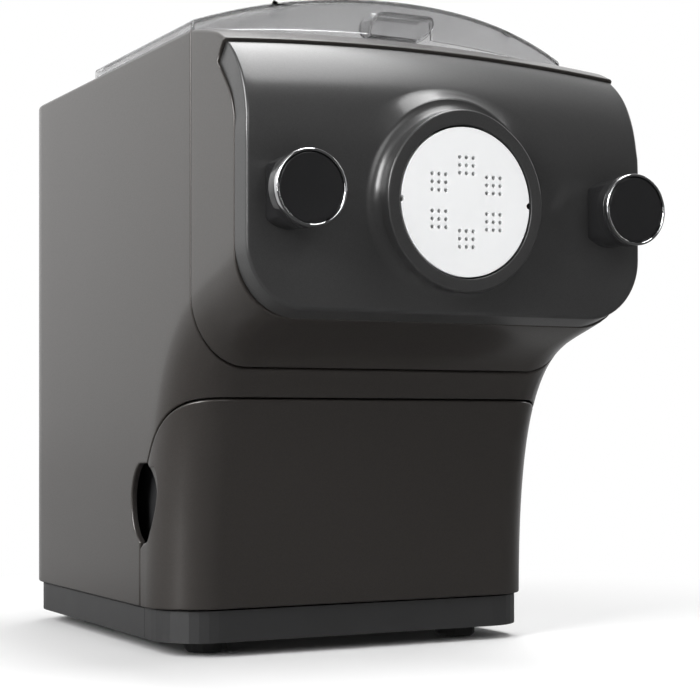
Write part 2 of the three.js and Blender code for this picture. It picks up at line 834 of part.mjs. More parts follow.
// The base's plan: narrow inside the drawer's plinth, wide behind it, with rounded rear corners
function basePlan(inset) {
  const half = halfWidth - baseInset - inset;
  const frontHalf = baseFrontHalf - inset;
  const endY = backY - baseRearInset - inset;
  const radius = rearCornerRadius - baseInset - inset;
  const shape = new THREE.Shape();
  const frontRadius = baseFrontRadius - inset;
  shape.moveTo(-half, drawerBackY + inset);
  shape.lineTo(-frontHalf, drawerBackY + inset);
  const [arcX, arcY] = [frontHalf - frontRadius, baseFrontY + inset + frontRadius];
  shape.absarc(-arcX, arcY, frontRadius, Math.PI, Math.PI + quarterTurn);
  shape.absarc(arcX, arcY, frontRadius, -quarterTurn, 0);
  shape.lineTo(frontHalf, drawerBackY + inset);
  shape.lineTo(half, drawerBackY + inset);
  shape.lineTo(half, endY - radius);
  shape.absarc(half - radius, endY - radius, radius, 0, quarterTurn);
  shape.absarc(-half + radius, endY - radius, radius, quarterTurn, Math.PI);
  return shape;
}

const boardX = 84;
const boardFrontY = 58;
const boardBackY = 150;
const boardWall = 1.6;
const boardRib = 2.4;

function boardRibs() {
  const ribs = [];
  const [lowZ, highZ] = [baseTopZ - baseWall, baseTopZ + boardRib];
  for (const y of [boardFrontY, boardBackY - boardRib * 2]) {
    for (const x of [boardX - seatGap - boardRib, boardX + boardWall + seatGap]) {
      ribs.push(block([x, x + boardRib], [y, y + boardRib * 2], [lowZ, highZ]));
    }
  }
  return ribs;
}

// Upstanding lips that locate the housing by its straight side and back walls
function baseLips() {
  const [outX, outY] = [halfWidth - bodyWall - seatGap, backY - bodyWall - seatGap];
  const [frontY, endY] = [drawerBackY + baseWall * 2, backY - rearCornerRadius];
  const heights = [baseTopZ - baseWall, baseTopZ + lipHeight];
  const sides = [-1, 1].map((side) => block(span(side * outX, side * (outX - baseWall)),
    [frontY, endY], heights));
  const straightX = halfWidth - rearCornerRadius;
  return [...sides, block([-straightX, straightX], [outY - baseWall, outY], heights)];
}

function basePlate() {
  const tray = upwards(basePlan(0), footHeight, baseTopZ);
  const hollow = upwards(basePlan(baseWall), footHeight - overrun, baseTopZ - baseWall);
  return joined([tray.subtract(hollow), ...baseLips(), ...boardRibs()]);
}

const footPlaces = {
  front_left: [-footX, footFrontY],
  front_right: [footX, footFrontY],
  rear_left: [-footX, footRearY],
  rear_right: [footX, footRearY],
};

function baseCover() {
  const plate = upwards(basePlan(baseWall + seatGap), footHeight, footHeight + coverWall);
  const holes = Object.values(footPlaces).map(([x, y]) => post(footStemRadius + seatGap,
    footHeight - overrun, footHeight + coverWall + overrun, x, y));
  return cutBy(plate, holes);
}

function foot([x, y]) {
  const topZ = footHeight - seatGap;
  const stemZ = baseTopZ - baseWall - cellHeight - seatGap * 2;
  const bevel = footStemRadius / 3;
  return turnedUpright([
    [0, 0], [footRadius - bevel, 0], [footRadius, bevel], [footRadius, topZ], [footStemRadius, topZ],
    [footStemRadius, stemZ], [0, stemZ],
  ], x, y);
}

function loadCell([x, y]) {
  const topZ = baseTopZ - baseWall - seatGap;
  const inward = -Math.sign(x);
  const reach = span(x - inward * cellWidth / 2, x + inward * (cellLength - cellWidth / 2));
  return block(reach, [y - cellWidth / 2, y + cellWidth / 2], [topZ - cellHeight, topZ]);
}

add('base_plate', basePlate(), finishes.baseBlack);
add('base_cover', baseCover(), finishes.innerBlack);
for (const [corner, place] of Object.entries(footPlaces)) {
  add(`${corner}_foot`, foot(place), finishes.rubber);
  add(`${corner}_load_cell`, loadCell(place), finishes.castAlloy);
}

// Drawer: a front that follows the housing, a black plinth, an open tray, and the bay that it runs in
const plinthWall = 4;
const trayHalf = 89;
const trayFrontY = -51.5;
const trayBackY = 10;
const trayLowZ = 27;
const trayHighZ = 112;
const trayWall = 2;
const trayCornerRadius = 22;
const trayFlangeZ = 58;
const trayFlange = 2.5;
const bayHalf = 96;
const bayFrontY = -40;
const bayBackY = 16;
const bayTopZ = 121;
const bayWall = 2;
const railHeight = 5;
const railWidth = 4.4;

function drawerRegion(inset) {
  const seam = drawerSeam(-seamGap / 2 - inset);
  const low = inset > 0 ? bodyBottomZ - overrun : bodyBottomZ;
  const topZ = drawerTopZ - seamGap / 2 - inset;
  const outline = [[headReachY, low], [seam[0][0], low], ...seam, [headReachY, topZ]];
  return acrossWidth(outline, halfWidth + overrun, 1);
}

function drawerFront() {
  const hollow = hull(bodyWall, bodyBottomZ - overrun);
  return hull(0).intersect(drawerRegion(0)).subtract(hollow);
}

// A plinth outline in plan: straight sides, round front corners
function plinthPlan(inset) {
  const half = halfWidth - baseInset - inset;
  const frontY = frontFootY + baseInset + inset;
  const radius = frontCornerRadius - baseInset - inset;
  const endY = drawerBackY - seamGap / 2;
  const shape = new THREE.Shape();
  shape.moveTo(half, endY + (inset > 0 ? overrun : 0));
  shape.lineTo(-half, endY + (inset > 0 ? overrun : 0));
  shape.absarc(-half + radius, frontY + radius, radius, Math.PI, Math.PI + quarterTurn);
  shape.absarc(half - radius, frontY + radius, radius, Math.PI + quarterTurn, fullTurn);
  return shape;
}

function drawerPlinth() {
  const topZ = bodyBottomZ - seatGap;
  const hollow = upwards(plinthPlan(plinthWall), footHeight - overrun, topZ + overrun);
  return upwards(plinthPlan(0), footHeight, topZ).subtract(hollow);
}

function trayPlan(inset) {
  const [halfY, centreY] = [(trayBackY - trayFrontY) / 2, (trayBackY + trayFrontY) / 2];
  return roundedRectangle(trayHalf - inset, halfY - inset, trayCornerRadius - inset, 0, centreY);
}

function drawerTray() {
  const box = upwards(trayPlan(0), trayLowZ, trayHighZ);
  const hollow = upwards(trayPlan(trayWall), trayLowZ + trayWall, trayHighZ + overrun);
  const reach = bayHalf - bayWall - runGap;
  const [frontY, endY] = [trayFrontY + trayCornerRadius, trayBackY - trayCornerRadius];
  const flanges = [-1, 1].map((side) => block(span(side * (trayHalf - trayWall), side * reach),
    [frontY, endY], [trayFlangeZ, trayFlangeZ + trayFlange]));
  const lug = block([-trayHalf / 3, trayHalf / 3], [frontFootY + bodyWall + seatGap, trayFrontY + trayWall],
    [trayLowZ, trayLowZ + trayWall * 2]);
  return joined([box.subtract(hollow), ...flanges, lug]);
}

function drawerBay() {
  const outer = block([-bayHalf, bayHalf], [bayFrontY, bayBackY], [baseTopZ + seatGap, bayTopZ]);
  const inner = block([-bayHalf + bayWall, bayHalf - bayWall], [bayFrontY - overrun, bayBackY - bayWall],
    [baseTopZ - overrun, bayTopZ - bayWall]);
  const railTopZ = trayFlangeZ - runGap;
  const inside = bayHalf - bayWall;
  const rails = [-1, 1].map((side) => block(span(side * (inside + bayWall / 2), side * (inside - railWidth)),
    [bayFrontY, bayBackY - bayWall], [railTopZ - railHeight, railTopZ]));
  return joined([outer.subtract(inner), ...rails]);
}

add('drawer_front', drawerFront(), finishes.bodyGrey);
add('drawer_plinth', drawerPlinth(), finishes.baseBlack);
add('drawer_tray', drawerTray(), finishes.innerBlack);
add('drawer_bay', drawerBay(), finishes.innerBlack);

// Lid: a clear crowned dome with a bowed front, a finger grip and two hinge knuckles
const lidCrownPower = 2.2;
const lidGap = 0.4;
const lidStations = 4;
const gripHalf = 23;
const gripLowZ = 305.6;
const gripHighZ = 316;
const gripFrontY = -102.5;
const gripBackY = -84;
const gripWall = 1.8;
const gripFlareShare = 0.78;
const hingeX = 60;
const hingeY = 58.5;
const hingeZ = 308.2;
const hingeRadius = 3.3;
const hingePinRadius = 1.5;
const knuckleLength = 16;
const hingeEar = 4;

function lidTop(x, y, inset) {
  const along = THREE.MathUtils.clamp((y - lidFrontY) / (lidBackY - lidFrontY), 0, 1);
  const peakZ = lidPeakZ + (lidRearPeakZ - lidPeakZ) * along * along;
  const share = Math.min(Math.abs(x) / lidHalfWidth, 1);
  return lidSideZ + (peakZ - lidSideZ) * (1 - share ** lidCrownPower) - inset;
}

function lidRing(y, inset) {
  const ring = [];
  const half = lidHalfWidth - inset;
  for (let i = 0; i <= crownSteps; i += 1) {
    const x = -half + (half * 2 * i) / crownSteps;
    const lowZ = deckZ + crownAt(x) + lidGap;
    ring.push(new THREE.Vector3(x, y, inset > 0 ? lowZ - overrun : lowZ));
  }
  for (let i = 0; i <= smallSteps; i += 1) {
    const x = half * Math.cos((Math.PI * i) / smallSteps);
    ring.push(new THREE.Vector3(x, y, lidTop(x, y, inset)));
  }
  return ring;
}

// The lid's plan: straight sides and back, and a front that bows towards the viewer
function lidPlan(inset) {
  const half = lidHalfWidth - inset;
  const [frontY, endY] = [lidFrontY + inset, lidBackY - inset];
  const bow = lidFrontEndY - lidFrontY;
  const radius = (half * half + bow * bow) / (bow * 2);
  const reach = Math.asin(half / radius);
  const shape = new THREE.Shape();
  shape.moveTo(half, endY);
  shape.lineTo(-half, endY);
  shape.absarc(0, frontY + radius, radius, -quarterTurn - reach, -quarterTurn + reach);
  return shape;
}

function lidForm(inset) {
  const rings = [];
  for (let i = 0; i <= lidStations; i += 1) {
    const share = i / lidStations;
    rings.push(lidRing(lidFrontY - overrun + (lidBackY - lidFrontY + overrun * 2) * share, inset));
  }
  const plan = upwards(lidPlan(inset), deckZ - overrun, lidPeakZ + overrun, crownSteps);
  return loft(rings, seenFromFront).intersect(plan);
}

// The grip's arch from the front: a flat top that flares down to its feet
function gripShape(grow) {
  const half = gripHalf + grow;
  const [low, high] = [gripLowZ - grow, gripHighZ + grow];
  const top = half * gripFlareShare;
  const shape = new THREE.Shape();
  shape.moveTo(-half, low);
  shape.lineTo(half, low);
  shape.quadraticCurveTo(top + grow, (low + high) / 2, top, high);
  shape.lineTo(-top, high);
  shape.quadraticCurveTo(-top - grow, (low + high) / 2, -half, low);
  return shape;
}

function hingeRod(radius, lowX, highX) {
  return sideways(new THREE.Shape().absarc(hingeY, hingeZ, radius, 0, fullTurn), lowX, highX, pinSteps);
}

function lidDome() {
  const shell = lidForm(0).subtract(lidForm(lidWall));
  const window = throughDepth(gripShape(seatGap), gripFrontY - overrun, gripBackY + overrun, cornerSteps);
  const knuckles = [-hingeX, hingeX].map((x) => {
    const [lowX, highX] = [x - knuckleLength / 2, x + knuckleLength / 2];
    const heights = [hingeZ - hingeRadius / 2, hingeZ + hingeRadius / 2];
    const web = block([lowX, highX], [lidBackY - lidWall / 2, hingeY], heights);
    return web.add(hingeRod(hingeRadius, lowX, highX));
  });
  const bores = [-hingeX, hingeX].map((x) => hingeRod(hingePinRadius + runGap,
    x - knuckleLength, x + knuckleLength));
  return cutBy(joined([shell.subtract(window), ...knuckles]), bores);
}

function lidGrip() {
  const outer = throughDepth(gripShape(0), gripFrontY, gripBackY, cornerSteps);
  const inner = throughDepth(gripShape(-gripWall), gripFrontY - overrun, gripBackY - gripWall, cornerSteps);
  return outer.subtract(inner);
}

function hingeBracket(x) {
  const [inner, outer] = [knuckleLength / 2 + runGap, knuckleLength / 2 + runGap + hingeEar];
  const ears = [-1, 1].map((side) => {
    const [lowX, highX] = span(x + side * inner, x + side * outer);
    const stem = block([lowX, highX], [hingeY - hingeRadius, hingeY + hingeRadius], [deckZ, hingeZ]);
    return stem.add(hingeRod(hingeRadius, lowX, highX));
  });
  const pin = hingeRod(hingePinRadius, x - outer, x + outer);
  const deck = crownedSlab([x - outer - overrun, x + outer + overrun],
    [hingeY - hingeRadius - overrun, hingeY + hingeRadius + overrun], [deckZ - overrun * 2, deckZ + seatGap]);
  return joined([...ears, pin]).subtract(deck);
}

add('lid_dome', lidDome(), finishes.smokyClear);
add('lid_grip', lidGrip(), finishes.smokyClear);
add('left_hinge_bracket', hingeBracket(-hingeX), finishes.baseBlack);
add('right_hinge_bracket', hingeBracket(hingeX), finishes.baseBlack);

// Controls on the deck behind the lid: a bezel, a display window, four buttons and their board
const bezelHalf = 88;
const bezelFrontY = 70;
const bezelBackY = 157;
const bezelCornerRadius = 14;
const bezelWall = 2;
const windowHalfX = 30;
const windowHalfY = 14;
const windowX = -28;
const controlY = 114;
const buttonPlaces = { power: -74, program: 22, menu: 43, start: 64 };
const buttonRadius = 7;
const buttonProud = 1;
const buttonTravel = 1.2;
const buttonFlange = 1.5;
const buttonStem = 2.5;
const boardZ = 287;
const boardHalf = 80;
const boardHalfY = 30;
const spacerRadius = 3;

const bezelTopZ = deckZ + seatGap + bezelWall;

function controlBezel() {
  const [centreY, halfY] = [(bezelFrontY + bezelBackY) / 2, (bezelBackY - bezelFrontY) / 2];
  const slab = crownedSlab([-bezelHalf, bezelHalf], [bezelFrontY, bezelBackY], [deckZ + seatGap, bezelTopZ]);
  const plan = upwards(roundedRectangle(bezelHalf, halfY, bezelCornerRadius, 0, centreY),
    deckZ - overrun, bezelTopZ + deckCrown + overrun);
  const holes = Object.values(buttonPlaces).map((x) => post(buttonRadius + runGap,
    deckZ - overrun, bezelTopZ + deckCrown + overrun, x, controlY));
  holes.push(block([windowX - windowHalfX, windowX + windowHalfX],
    [controlY - windowHalfY, controlY + windowHalfY], [deckZ - overrun, bezelTopZ + deckCrown + overrun]));
  const reachX = boardHalf - spacerRadius * 2;
  const spacers = [-reachX, reachX].flatMap((x) => [-1, 1].map((side) => post(spacerRadius,
    boardZ + boardWall + seatGap, deckZ + seatGap + crownAt(x) + bezelWall / 2, x,
    controlY + side * (boardHalfY - spacerRadius * 2), pinSteps)));
  return joined([cutBy(slab.intersect(plan), holes), ...spacers]);
}

function displayWindow() {
  return crownedSlab([windowX - windowHalfX + seatGap, windowX + windowHalfX - seatGap],
    [controlY - windowHalfY + seatGap, controlY + windowHalfY - seatGap], [deckZ + seatGap, bezelTopZ]);
}

function button(x) {
  const faceZ = bezelTopZ + crownAt(x) + buttonProud;
  const flangeZ = deckZ + crownAt(x) - runGap;
  const bevel = buttonProud / 2;
  const stemZ = boardZ + boardWall + buttonTravel + seatGap;
  return turnedUpright([
    [0, stemZ], [buttonStem, stemZ], [buttonStem, flangeZ - buttonFlange],
    [buttonRadius + buttonFlange, flangeZ - buttonFlange], [buttonRadius + buttonFlange, flangeZ],
    [buttonRadius, flangeZ], [buttonRadius, faceZ - bevel], [buttonRadius - bevel, faceZ], [0, faceZ],
  ], x, controlY);
}

function controlBoard() {
  return block([-boardHalf, boardHalf], [controlY - boardHalfY, controlY + boardHalfY],
    [boardZ, boardZ + boardWall]);
}

add('control_bezel', controlBezel(), finishes.baseBlack);
add('display_window', displayWindow(), finishes.glassBlack);
add('control_board', controlBoard(), finishes.boardGreen);
for (const [label, x] of Object.entries(buttonPlaces)) {
  add(`${label}_button`, button(x), finishes.chrome);
}

// Back wall: a mains rocker in its frame, and the gland where the lead comes in
const rockerRecess = 3;
const rockerFrame = 2;
const rockerDepth = 16;
const rockerThickness = 5;
const glandBore = 3.6;
const glandFlange = 2.5;

function rockerHousing() {
  const [halfX, halfZ] = [switchHalfX - seatGap, switchHalfZ - seatGap];
  const faceY = backY - seatGap;
  const frontY = backY - bodyWall - rockerDepth;
  const outer = block([switchX - halfX, switchX + halfX], [frontY, faceY],
    [switchZ - halfZ, switchZ + halfZ]);
  const inner = block([switchX - halfX + rockerFrame, switchX + halfX - rockerFrame],
    [frontY + rockerFrame, faceY + overrun], [switchZ - halfZ + rockerFrame, switchZ + halfZ - rockerFrame]);
  return outer.subtract(inner);
}

// The rocker from the side: a shallow V whose raised half changes when it tips
function powerRocker() {
  const halfX = switchHalfX - seatGap - rockerFrame - runGap;
  const halfZ = switchHalfZ - seatGap - rockerFrame - rockerFrame / 2;
  const faceY = backY - rockerRecess;
  const backFaceY = faceY - rockerThickness;
  const shape = shapeOf([
    [backFaceY, -halfZ], [faceY, -halfZ], [faceY - rockerRecess / 3, 0], [faceY, halfZ], [backFaceY, halfZ],
    [backFaceY - rockerThickness / 2, 0],
  ]);
  const rocker = sideways(shape, switchX - halfX, switchX + halfX);
  return rocker.translate([0, 0, switchZ]);
}

function cordGland() {
  const faceY = backY - seatGap;
  const wallY = backY - bodyWall - seatGap;
  const radius = glandRadius - seatGap;
  return turned([
    [glandBore, wallY - glandFlange], [glandRadius + glandFlange, wallY - glandFlange],
    [glandRadius + glandFlange, wallY], [radius, wallY], [radius, faceY], [glandBore + seatGap, faceY],
    [glandBore, faceY - seatGap], [glandBore, wallY - glandFlange],
  ], -switchX, switchZ, smallSteps);
}

add('rocker_housing', rockerHousing(), finishes.baseBlack);
add('power_rocker', powerRocker(), finishes.innerBlack);
add('cord_gland', cordGland(), finishes.rubber);

// Mixing chamber: a trough with a round floor and a flange under the deck
const chamberFlange = 7;
const chamberFlangeWall = 2.5;
const chamberMouthHalf = 66;
const sealRadius = 14;

function troughShape(inset) {
  const radius = chamberRadius - inset;
  const half = chamberMouthHalf - inset;
  const topZ = deckZ + deckCrown;
  const shape = new THREE.Shape();
  shape.moveTo(half, topZ);
  shape.lineTo(-half, topZ);
  shape.lineTo(-radius, outletZ);
  shape.absarc(0, outletZ, radius, Math.PI, fullTurn);
  return shape;
}

function mixingChamber() {
  const flangeTopZ = deckZ - bodyWall - seatGap;
  const [frontY, endY] = [chamberFrontY - chamberWall, chamberBackY + chamberWall];
  const outer = throughDepth(troughShape(-chamberWall), frontY, endY);
  const inner = throughDepth(troughShape(0), chamberFrontY, chamberBackY);
  const reach = chamberMouthHalf + chamberFlange;
  const flange = crownedSlab([-reach, reach], [frontY - chamberFlange / 2, endY + chamberFlange / 2],
    [flangeTopZ - chamberFlangeWall, flangeTopZ]);
  const under = crownedSlab([-reach, reach], [frontY - chamberFlange, endY + chamberFlange],
    [deckZ - chamberRadius * 3, flangeTopZ]);
  const body = outer.intersect(under).add(flange).subtract(inner);
  return cutBy(body, [
    rod(tubeBore, frontY - overrun, chamberFrontY + overrun, 0, outletZ),
    rod(sealRadius + seatGap, chamberBackY - overrun, endY + overrun, 0, outletZ, smallSteps),
  ]);
}

// Extrusion tube: a flange on the chamber, a plain barrel and a thick end that seats the disc
const tubeWall = 3.4;
const tubeFlangeRadius = 46;
const tubeFlangeWall = 4;
const tubeCollar = 14;

function extrusionTube() {
  const endY = chamberFrontY - chamberWall - seatGap;
  const frontY = panelY - bossReach + discInset + discThickness + seatGap;
  const barrel = tubeBore + tubeWall;
  const collarY = frontY + tubeCollar;
  return turned([
    [tubeBore, frontY], [tubeRadius, frontY], [tubeRadius, collarY], [barrel, collarY + tubeRadius - barrel],
    [barrel, endY - tubeFlangeWall], [tubeFlangeRadius, endY - tubeFlangeWall], [tubeFlangeRadius, endY],
    [tubeBore, endY], [tubeBore, frontY],
  ], 0, outletZ, innerSteps);
}

// Mixing shaft: round in its bearings, six-sided where the paddle and the auger ride on it
const hexRadius = 7.6;
const hexSides = 6;
const hexBackY = 40;
const shaftTail = 7;
const shaftBackY = gearCoverY + shaftTail;

function hexRod(radius, frontY, endY) {
  return rod(radius, frontY, endY, 0, outletZ, hexSides);
}

function driveShaft() {
  const tail = rod(shaftRadius, hexBackY, shaftBackY, 0, outletZ, smallSteps);
  return hexRod(hexRadius, shaftFrontY, hexBackY + overrun).add(tail);
}

// Auger: one blade wound round a core, closer than a millimetre to the tube
const augerCore = 12;
const augerFrontY = -147;
const augerBackY = -70;
const augerPitch = 25;
const augerBlade = 3.2;
const augerBladeRoot = 1.5;
const augerClearance = 0.8;
const augerSteps = 10;
const shaftFrontY = augerFrontY + augerBlade + seatGap;

function augerBladeSolid() {
  const [startY, endY] = [augerFrontY + augerBlade, augerBackY - augerBlade];
  const turns = (endY - startY) / augerPitch;
  const count = Math.round(turns * augerSteps);
  const [inner, outer] = [augerCore - augerBladeRoot, tubeBore - augerClearance];
  const rings = [];
  for (let i = 0; i <= count; i += 1) {
    const angle = (fullTurn * turns * i) / count;
    const y = startY + ((endY - startY) * i) / count;
    const corner = (radius, offset) => new THREE.Vector3(radius * Math.cos(angle), y + offset,
      outletZ + radius * Math.sin(angle));
    rings.push([corner(inner, -augerBlade), corner(outer, -augerBlade / 2), corner(outer, augerBlade / 2),
      corner(inner, augerBlade)]);
  }
  return loft(rings, (point) => new THREE.Vector2(Math.hypot(point.x, point.z - outletZ), point.y));
}

function auger() {
  const core = rod(augerCore, augerFrontY, augerBackY, 0, outletZ, smallSteps);
  const bore = hexRod(hexRadius + seatGap, augerFrontY + augerBlade, augerBackY + overrun);
  return core.add(augerBladeSolid()).subtract(bore);
}

// Kneading paddle: a hub with tapered blades set round it in steps
const paddleHub = 13;
const paddleFrontY = -67;
const paddleBackY = 37;
const paddleReach = 57;
const paddleBlades = 6;
const paddleBladeWall = 4.5;
const paddleBladeRoot = 20;
const paddleBladeTip = 13;
const paddleTwist = 0.35;

function paddleBlade(index) {
  const stepY = (paddleBackY - paddleFrontY - paddleBladeRoot) / (paddleBlades - 1);
  const y = paddleFrontY + paddleBladeRoot / 2 + stepY * index;
  const inner = paddleHub - paddleBladeWall / 2;
  const shape = shapeOf([
    [inner, -paddleBladeRoot / 2], [paddleReach - paddleBladeTip, -paddleBladeRoot / 2],
    [paddleReach, -paddleBladeTip / 3], [paddleReach, paddleBladeTip / 3], [inner, paddleBladeRoot / 2],
  ]);
  const geometry = new THREE.ExtrudeGeometry(shape, { depth: paddleBladeWall, bevelEnabled: false });
  geometry.translate(0, 0, -paddleBladeWall / 2);
  geometry.rotateX(paddleTwist);
  geometry.rotateY((fullTurn * index * 2) / paddleBlades + (index % 2) * Math.PI / paddleBlades);
  geometry.translate(0, y, outletZ);
  return solid(geometry);
}

function kneadingPaddle() {
  const blades = Array.from({ length: paddleBlades }, (unused, index) => paddleBlade(index));
  const hub = rod(paddleHub, paddleFrontY, paddleBackY, 0, outletZ, smallSteps);
  const limit = rod(paddleReach + paddleBladeWall, paddleFrontY, paddleBackY, 0, outletZ, innerSteps);
  return joined([hub, ...blades]).intersect(limit)
    .subtract(hexRod(hexRadius + seatGap, paddleFrontY - overrun, paddleBackY + overrun));
}

function shaftSeal() {
  const endY = chamberBackY + chamberWall * 2;
  return sleeve(shaftRadius + runGap, sealRadius, chamberBackY, endY, 0, outletZ, smallSteps);
}

add('mixing_chamber', mixingChamber(), finishes.innerBlack);
add('extrusion_tube', extrusionTube(), finishes.innerBlack);
add('kneading_paddle', kneadingPaddle(), finishes.discWhite);
add('extrusion_auger', auger(), finishes.discWhite);
add('drive_shaft', driveShaft(), finishes.steel);
add('shaft_seal', shaftSeal(), finishes.rubber);

// Gears: involute teeth, thinned for backlash
const pressureAngle = THREE.MathUtils.degToRad(25);
const addendumShare = 0.92;
const dedendumShare = 1.25;
const backlash = 0.14;

const involute = (angle) => Math.tan(angle) - angle;

// Half the angle that a tooth spans at one radius
function toothHalfAngle(teeth, module, radius) {
  const pitchRadius = (teeth * module) / 2;
  const baseRadius = pitchRadius * Math.cos(pressureAngle);
  const angleThere = Math.acos(Math.min(baseRadius / Math.max(radius, baseRadius), 1));
  return Math.PI / (teeth * 2) + involute(pressureAngle) - involute(angleThere) - backlash / pitchRadius;
}

function gearShape(teeth, module, flankPoints, bore) {
  const pitchRadius = (teeth * module) / 2;
  const rootRadius = pitchRadius - module * dedendumShare;
  const tipRadius = pitchRadius + module * addendumShare;
  const points = [];
  for (let tooth = 0; tooth < teeth; tooth += 1) {
    const centre = (fullTurn * tooth) / teeth;
    const flank = [];
    for (let i = 0; i < flankPoints; i += 1) {
      const radius = rootRadius + ((tipRadius - rootRadius) * i) / (flankPoints - 1);
      flank.push([radius, toothHalfAngle(teeth, module, radius)]);
    }
    for (const [radius, half] of flank) {
      points.push([radius * Math.cos(centre - half), radius * Math.sin(centre - half)]);
    }
    for (const [radius, half] of flank.reverse()) {
      points.push([radius * Math.cos(centre + half), radius * Math.sin(centre + half)]);
    }
  }
  const shape = shapeOf(points);
  if (bore > 0) {
    shape.holes.push(circlePath(0, 0, bore));
  }
  return shape;
}

function gear(teeth, module, flankPoints, bore, [frontY, endY], z, turn) {
  const depthY = endY - frontY;
  const geometry = new THREE.ExtrudeGeometry(gearShape(teeth, module, flankPoints, bore),
    { depth: depthY, bevelEnabled: false, curveSegments: smallSteps });
  geometry.rotateZ(turn);
  geometry.applyMatrix4(frontFrame);
  geometry.translate(0, endY, z);
  return solid(geometry);
}

// Gear train: motor pinion to idler wheel, idler pinion to output wheel
const motorGearWidth = 8;
const outputGearWidth = 13;
const gearSideGap = 1.2;
const idlerPin = 4;
const wheelWeb = 5;
const wheelRim = 7;
const bearingRadius = 13;
const bearingWall = 7;
const motorShaftRadius = 4;

const motorGearY = gearPlateY + gearPlateWall + gearSideGap;
const motorGearEndY = motorGearY + motorGearWidth;
const outputGearY = motorGearEndY + gearSideGap;
const outputGearEndY = outputGearY + outputGearWidth;

// A turned recess in a wheel's face, between its hub and its rim
function webRecess(hub, rimRadius, frontY, endY, z) {
  return sleeve(hub, rimRadius, frontY, endY, 0, z, smallSteps);
}

// Turn that puts a gap between two teeth at an angle
function gapAt(teeth, angle) {
  return angle - Math.PI / teeth;
}

function outputGear() {
  const bore = shaftRadius + seatGap;
  const wheel = gear(outputTeeth, outputModule, 2, bore, [outputGearY, outputGearEndY], outletZ, 0);
  const rimRadius = (outputTeeth * outputModule) / 2 - wheelRim;
  const recessDepth = (outputGearWidth - wheelWeb) / 2;
  return cutBy(wheel, [
    webRecess(shaftRadius * 2, rimRadius, outputGearY - overrun, outputGearY + recessDepth, outletZ),
    webRecess(shaftRadius * 2, rimRadius, outputGearEndY - recessDepth, outputGearEndY + overrun, outletZ),
  ]);
}

function idlerGear() {
  const bore = idlerPin + runGap;
  const wheel = gear(motorGearTeeth, motorModule, 2, bore, [motorGearY, motorGearEndY], idlerZ, 0);
  const pinion = gear(outputPinionTeeth, outputModule, 3, bore, [motorGearEndY - gearSideGap, outputGearEndY],
    idlerZ, gapAt(outputPinionTeeth, quarterTurn));
  const rimRadius = (motorGearTeeth * motorModule) / 2 - wheelRim;
  const recessY = motorGearY + motorGearWidth / 4;
  const recess = webRecess(idlerPin * 4, rimRadius, motorGearY - overrun, recessY, idlerZ);
  return wheel.subtract(recess).add(pinion);
}

function motorShaft() {
  const pinion = gear(motorPinionTeeth, motorModule, 3, 0, [motorGearY, motorGearEndY], motorZ,
    gapAt(motorPinionTeeth, quarterTurn));
  return pinion.add(rod(motorShaftRadius, fanFrontY, motorGearY + gearSideGap, 0, motorZ, smallSteps));
}

// Gear plate and cover: two steel plates that carry the motor, the bearings and the idler pin
const plateHalf = 66;
const plateTopHalf = 34;
const plateFootHalf = 52;
const plateHeadGap = 22;
const plateTopZ = 283;
const plateFootWall = 4;
const plateFootDepth = 18;
const motorBossRadius = 12;
const spacerPostRadius = 5;
const spacerLowX = 56;
const spacerLowZ = 112;
const spacerHighX = 72;
const coverFootHalf = 62;
const coverFootZ = 96;

// Plate outline from the front: sloping sides under a wide head over the output wheel
function plateShape(lowZ, lowHalf, waistHalf) {
  const head = (outputTeeth * outputModule) / 2 + plateHeadGap;
  const shape = shapeOf([
    [-lowHalf, lowZ], [lowHalf, lowZ], [waistHalf, spacerLowZ], [head, outletZ],
    [plateTopHalf, plateTopZ], [-plateTopHalf, plateTopZ], [-head, outletZ], [-waistHalf, spacerLowZ],
  ]);
  shape.holes.push(circlePath(0, outletZ, bearingRadius + seatGap));
  shape.holes.push(circlePath(0, idlerZ, idlerPin + seatGap));
  return shape;
}

function gearPlate() {
  const lowZ = baseTopZ + seatGap;
  const shape = plateShape(lowZ, plateFootHalf, plateHalf);
  shape.holes.push(circlePath(0, motorZ, motorBossRadius + seatGap));
  const plate = throughDepth(shape, gearPlateY, gearPlateY + gearPlateWall);
  const footEndY = gearPlateY + gearPlateWall + plateFootDepth;
  const footPad = block([-plateFootHalf, plateFootHalf], [gearPlateY, footEndY],
    [lowZ, lowZ + plateFootWall]);
  return plate.add(footPad);
}

function gearCover() {
  const shape = plateShape(coverFootZ, coverFootHalf, plateHalf);
  const plate = throughDepth(shape, gearCoverY, gearCoverY + gearPlateWall);
  const frontY = gearPlateY + gearPlateWall + seatGap;
  const places = [[spacerLowX, spacerLowZ], [spacerHighX, outletZ]];
  const spacers = places.flatMap(([x, z]) => [-x, x].map((side) => rod(spacerPostRadius,
    frontY, gearCoverY + gearPlateWall / 2, side, z, pinSteps)));
  return joined([plate, ...spacers]);
}

function idlerAxle() {
  const headY = gearCoverY + gearPlateWall + seatGap;
  const endY = headY + gearPlateWall / 2;
  return turned([
    [0, gearPlateY], [idlerPin, gearPlateY], [idlerPin, headY], [idlerPin * 2, headY],
    [idlerPin * 2, endY], [0, endY],
  ], 0, idlerZ, smallSteps);
}

function shaftBearing(frontY) {
  return sleeve(shaftRadius + runGap, bearingRadius, frontY, frontY + bearingWall, 0, outletZ, smallSteps);
}

// Motor: a can bolted to the gear plate, with a cooling fan in front of it
const fanFrontY = 21;
const fanDepth = 8;
const fanRadius = 31;
const fanHub = 9;
const fanBlades = 5;
const fanBladeWall = 1.6;
const fanPitch = 0.9;
const motorFrontY = 33;
const motorBevel = 4;

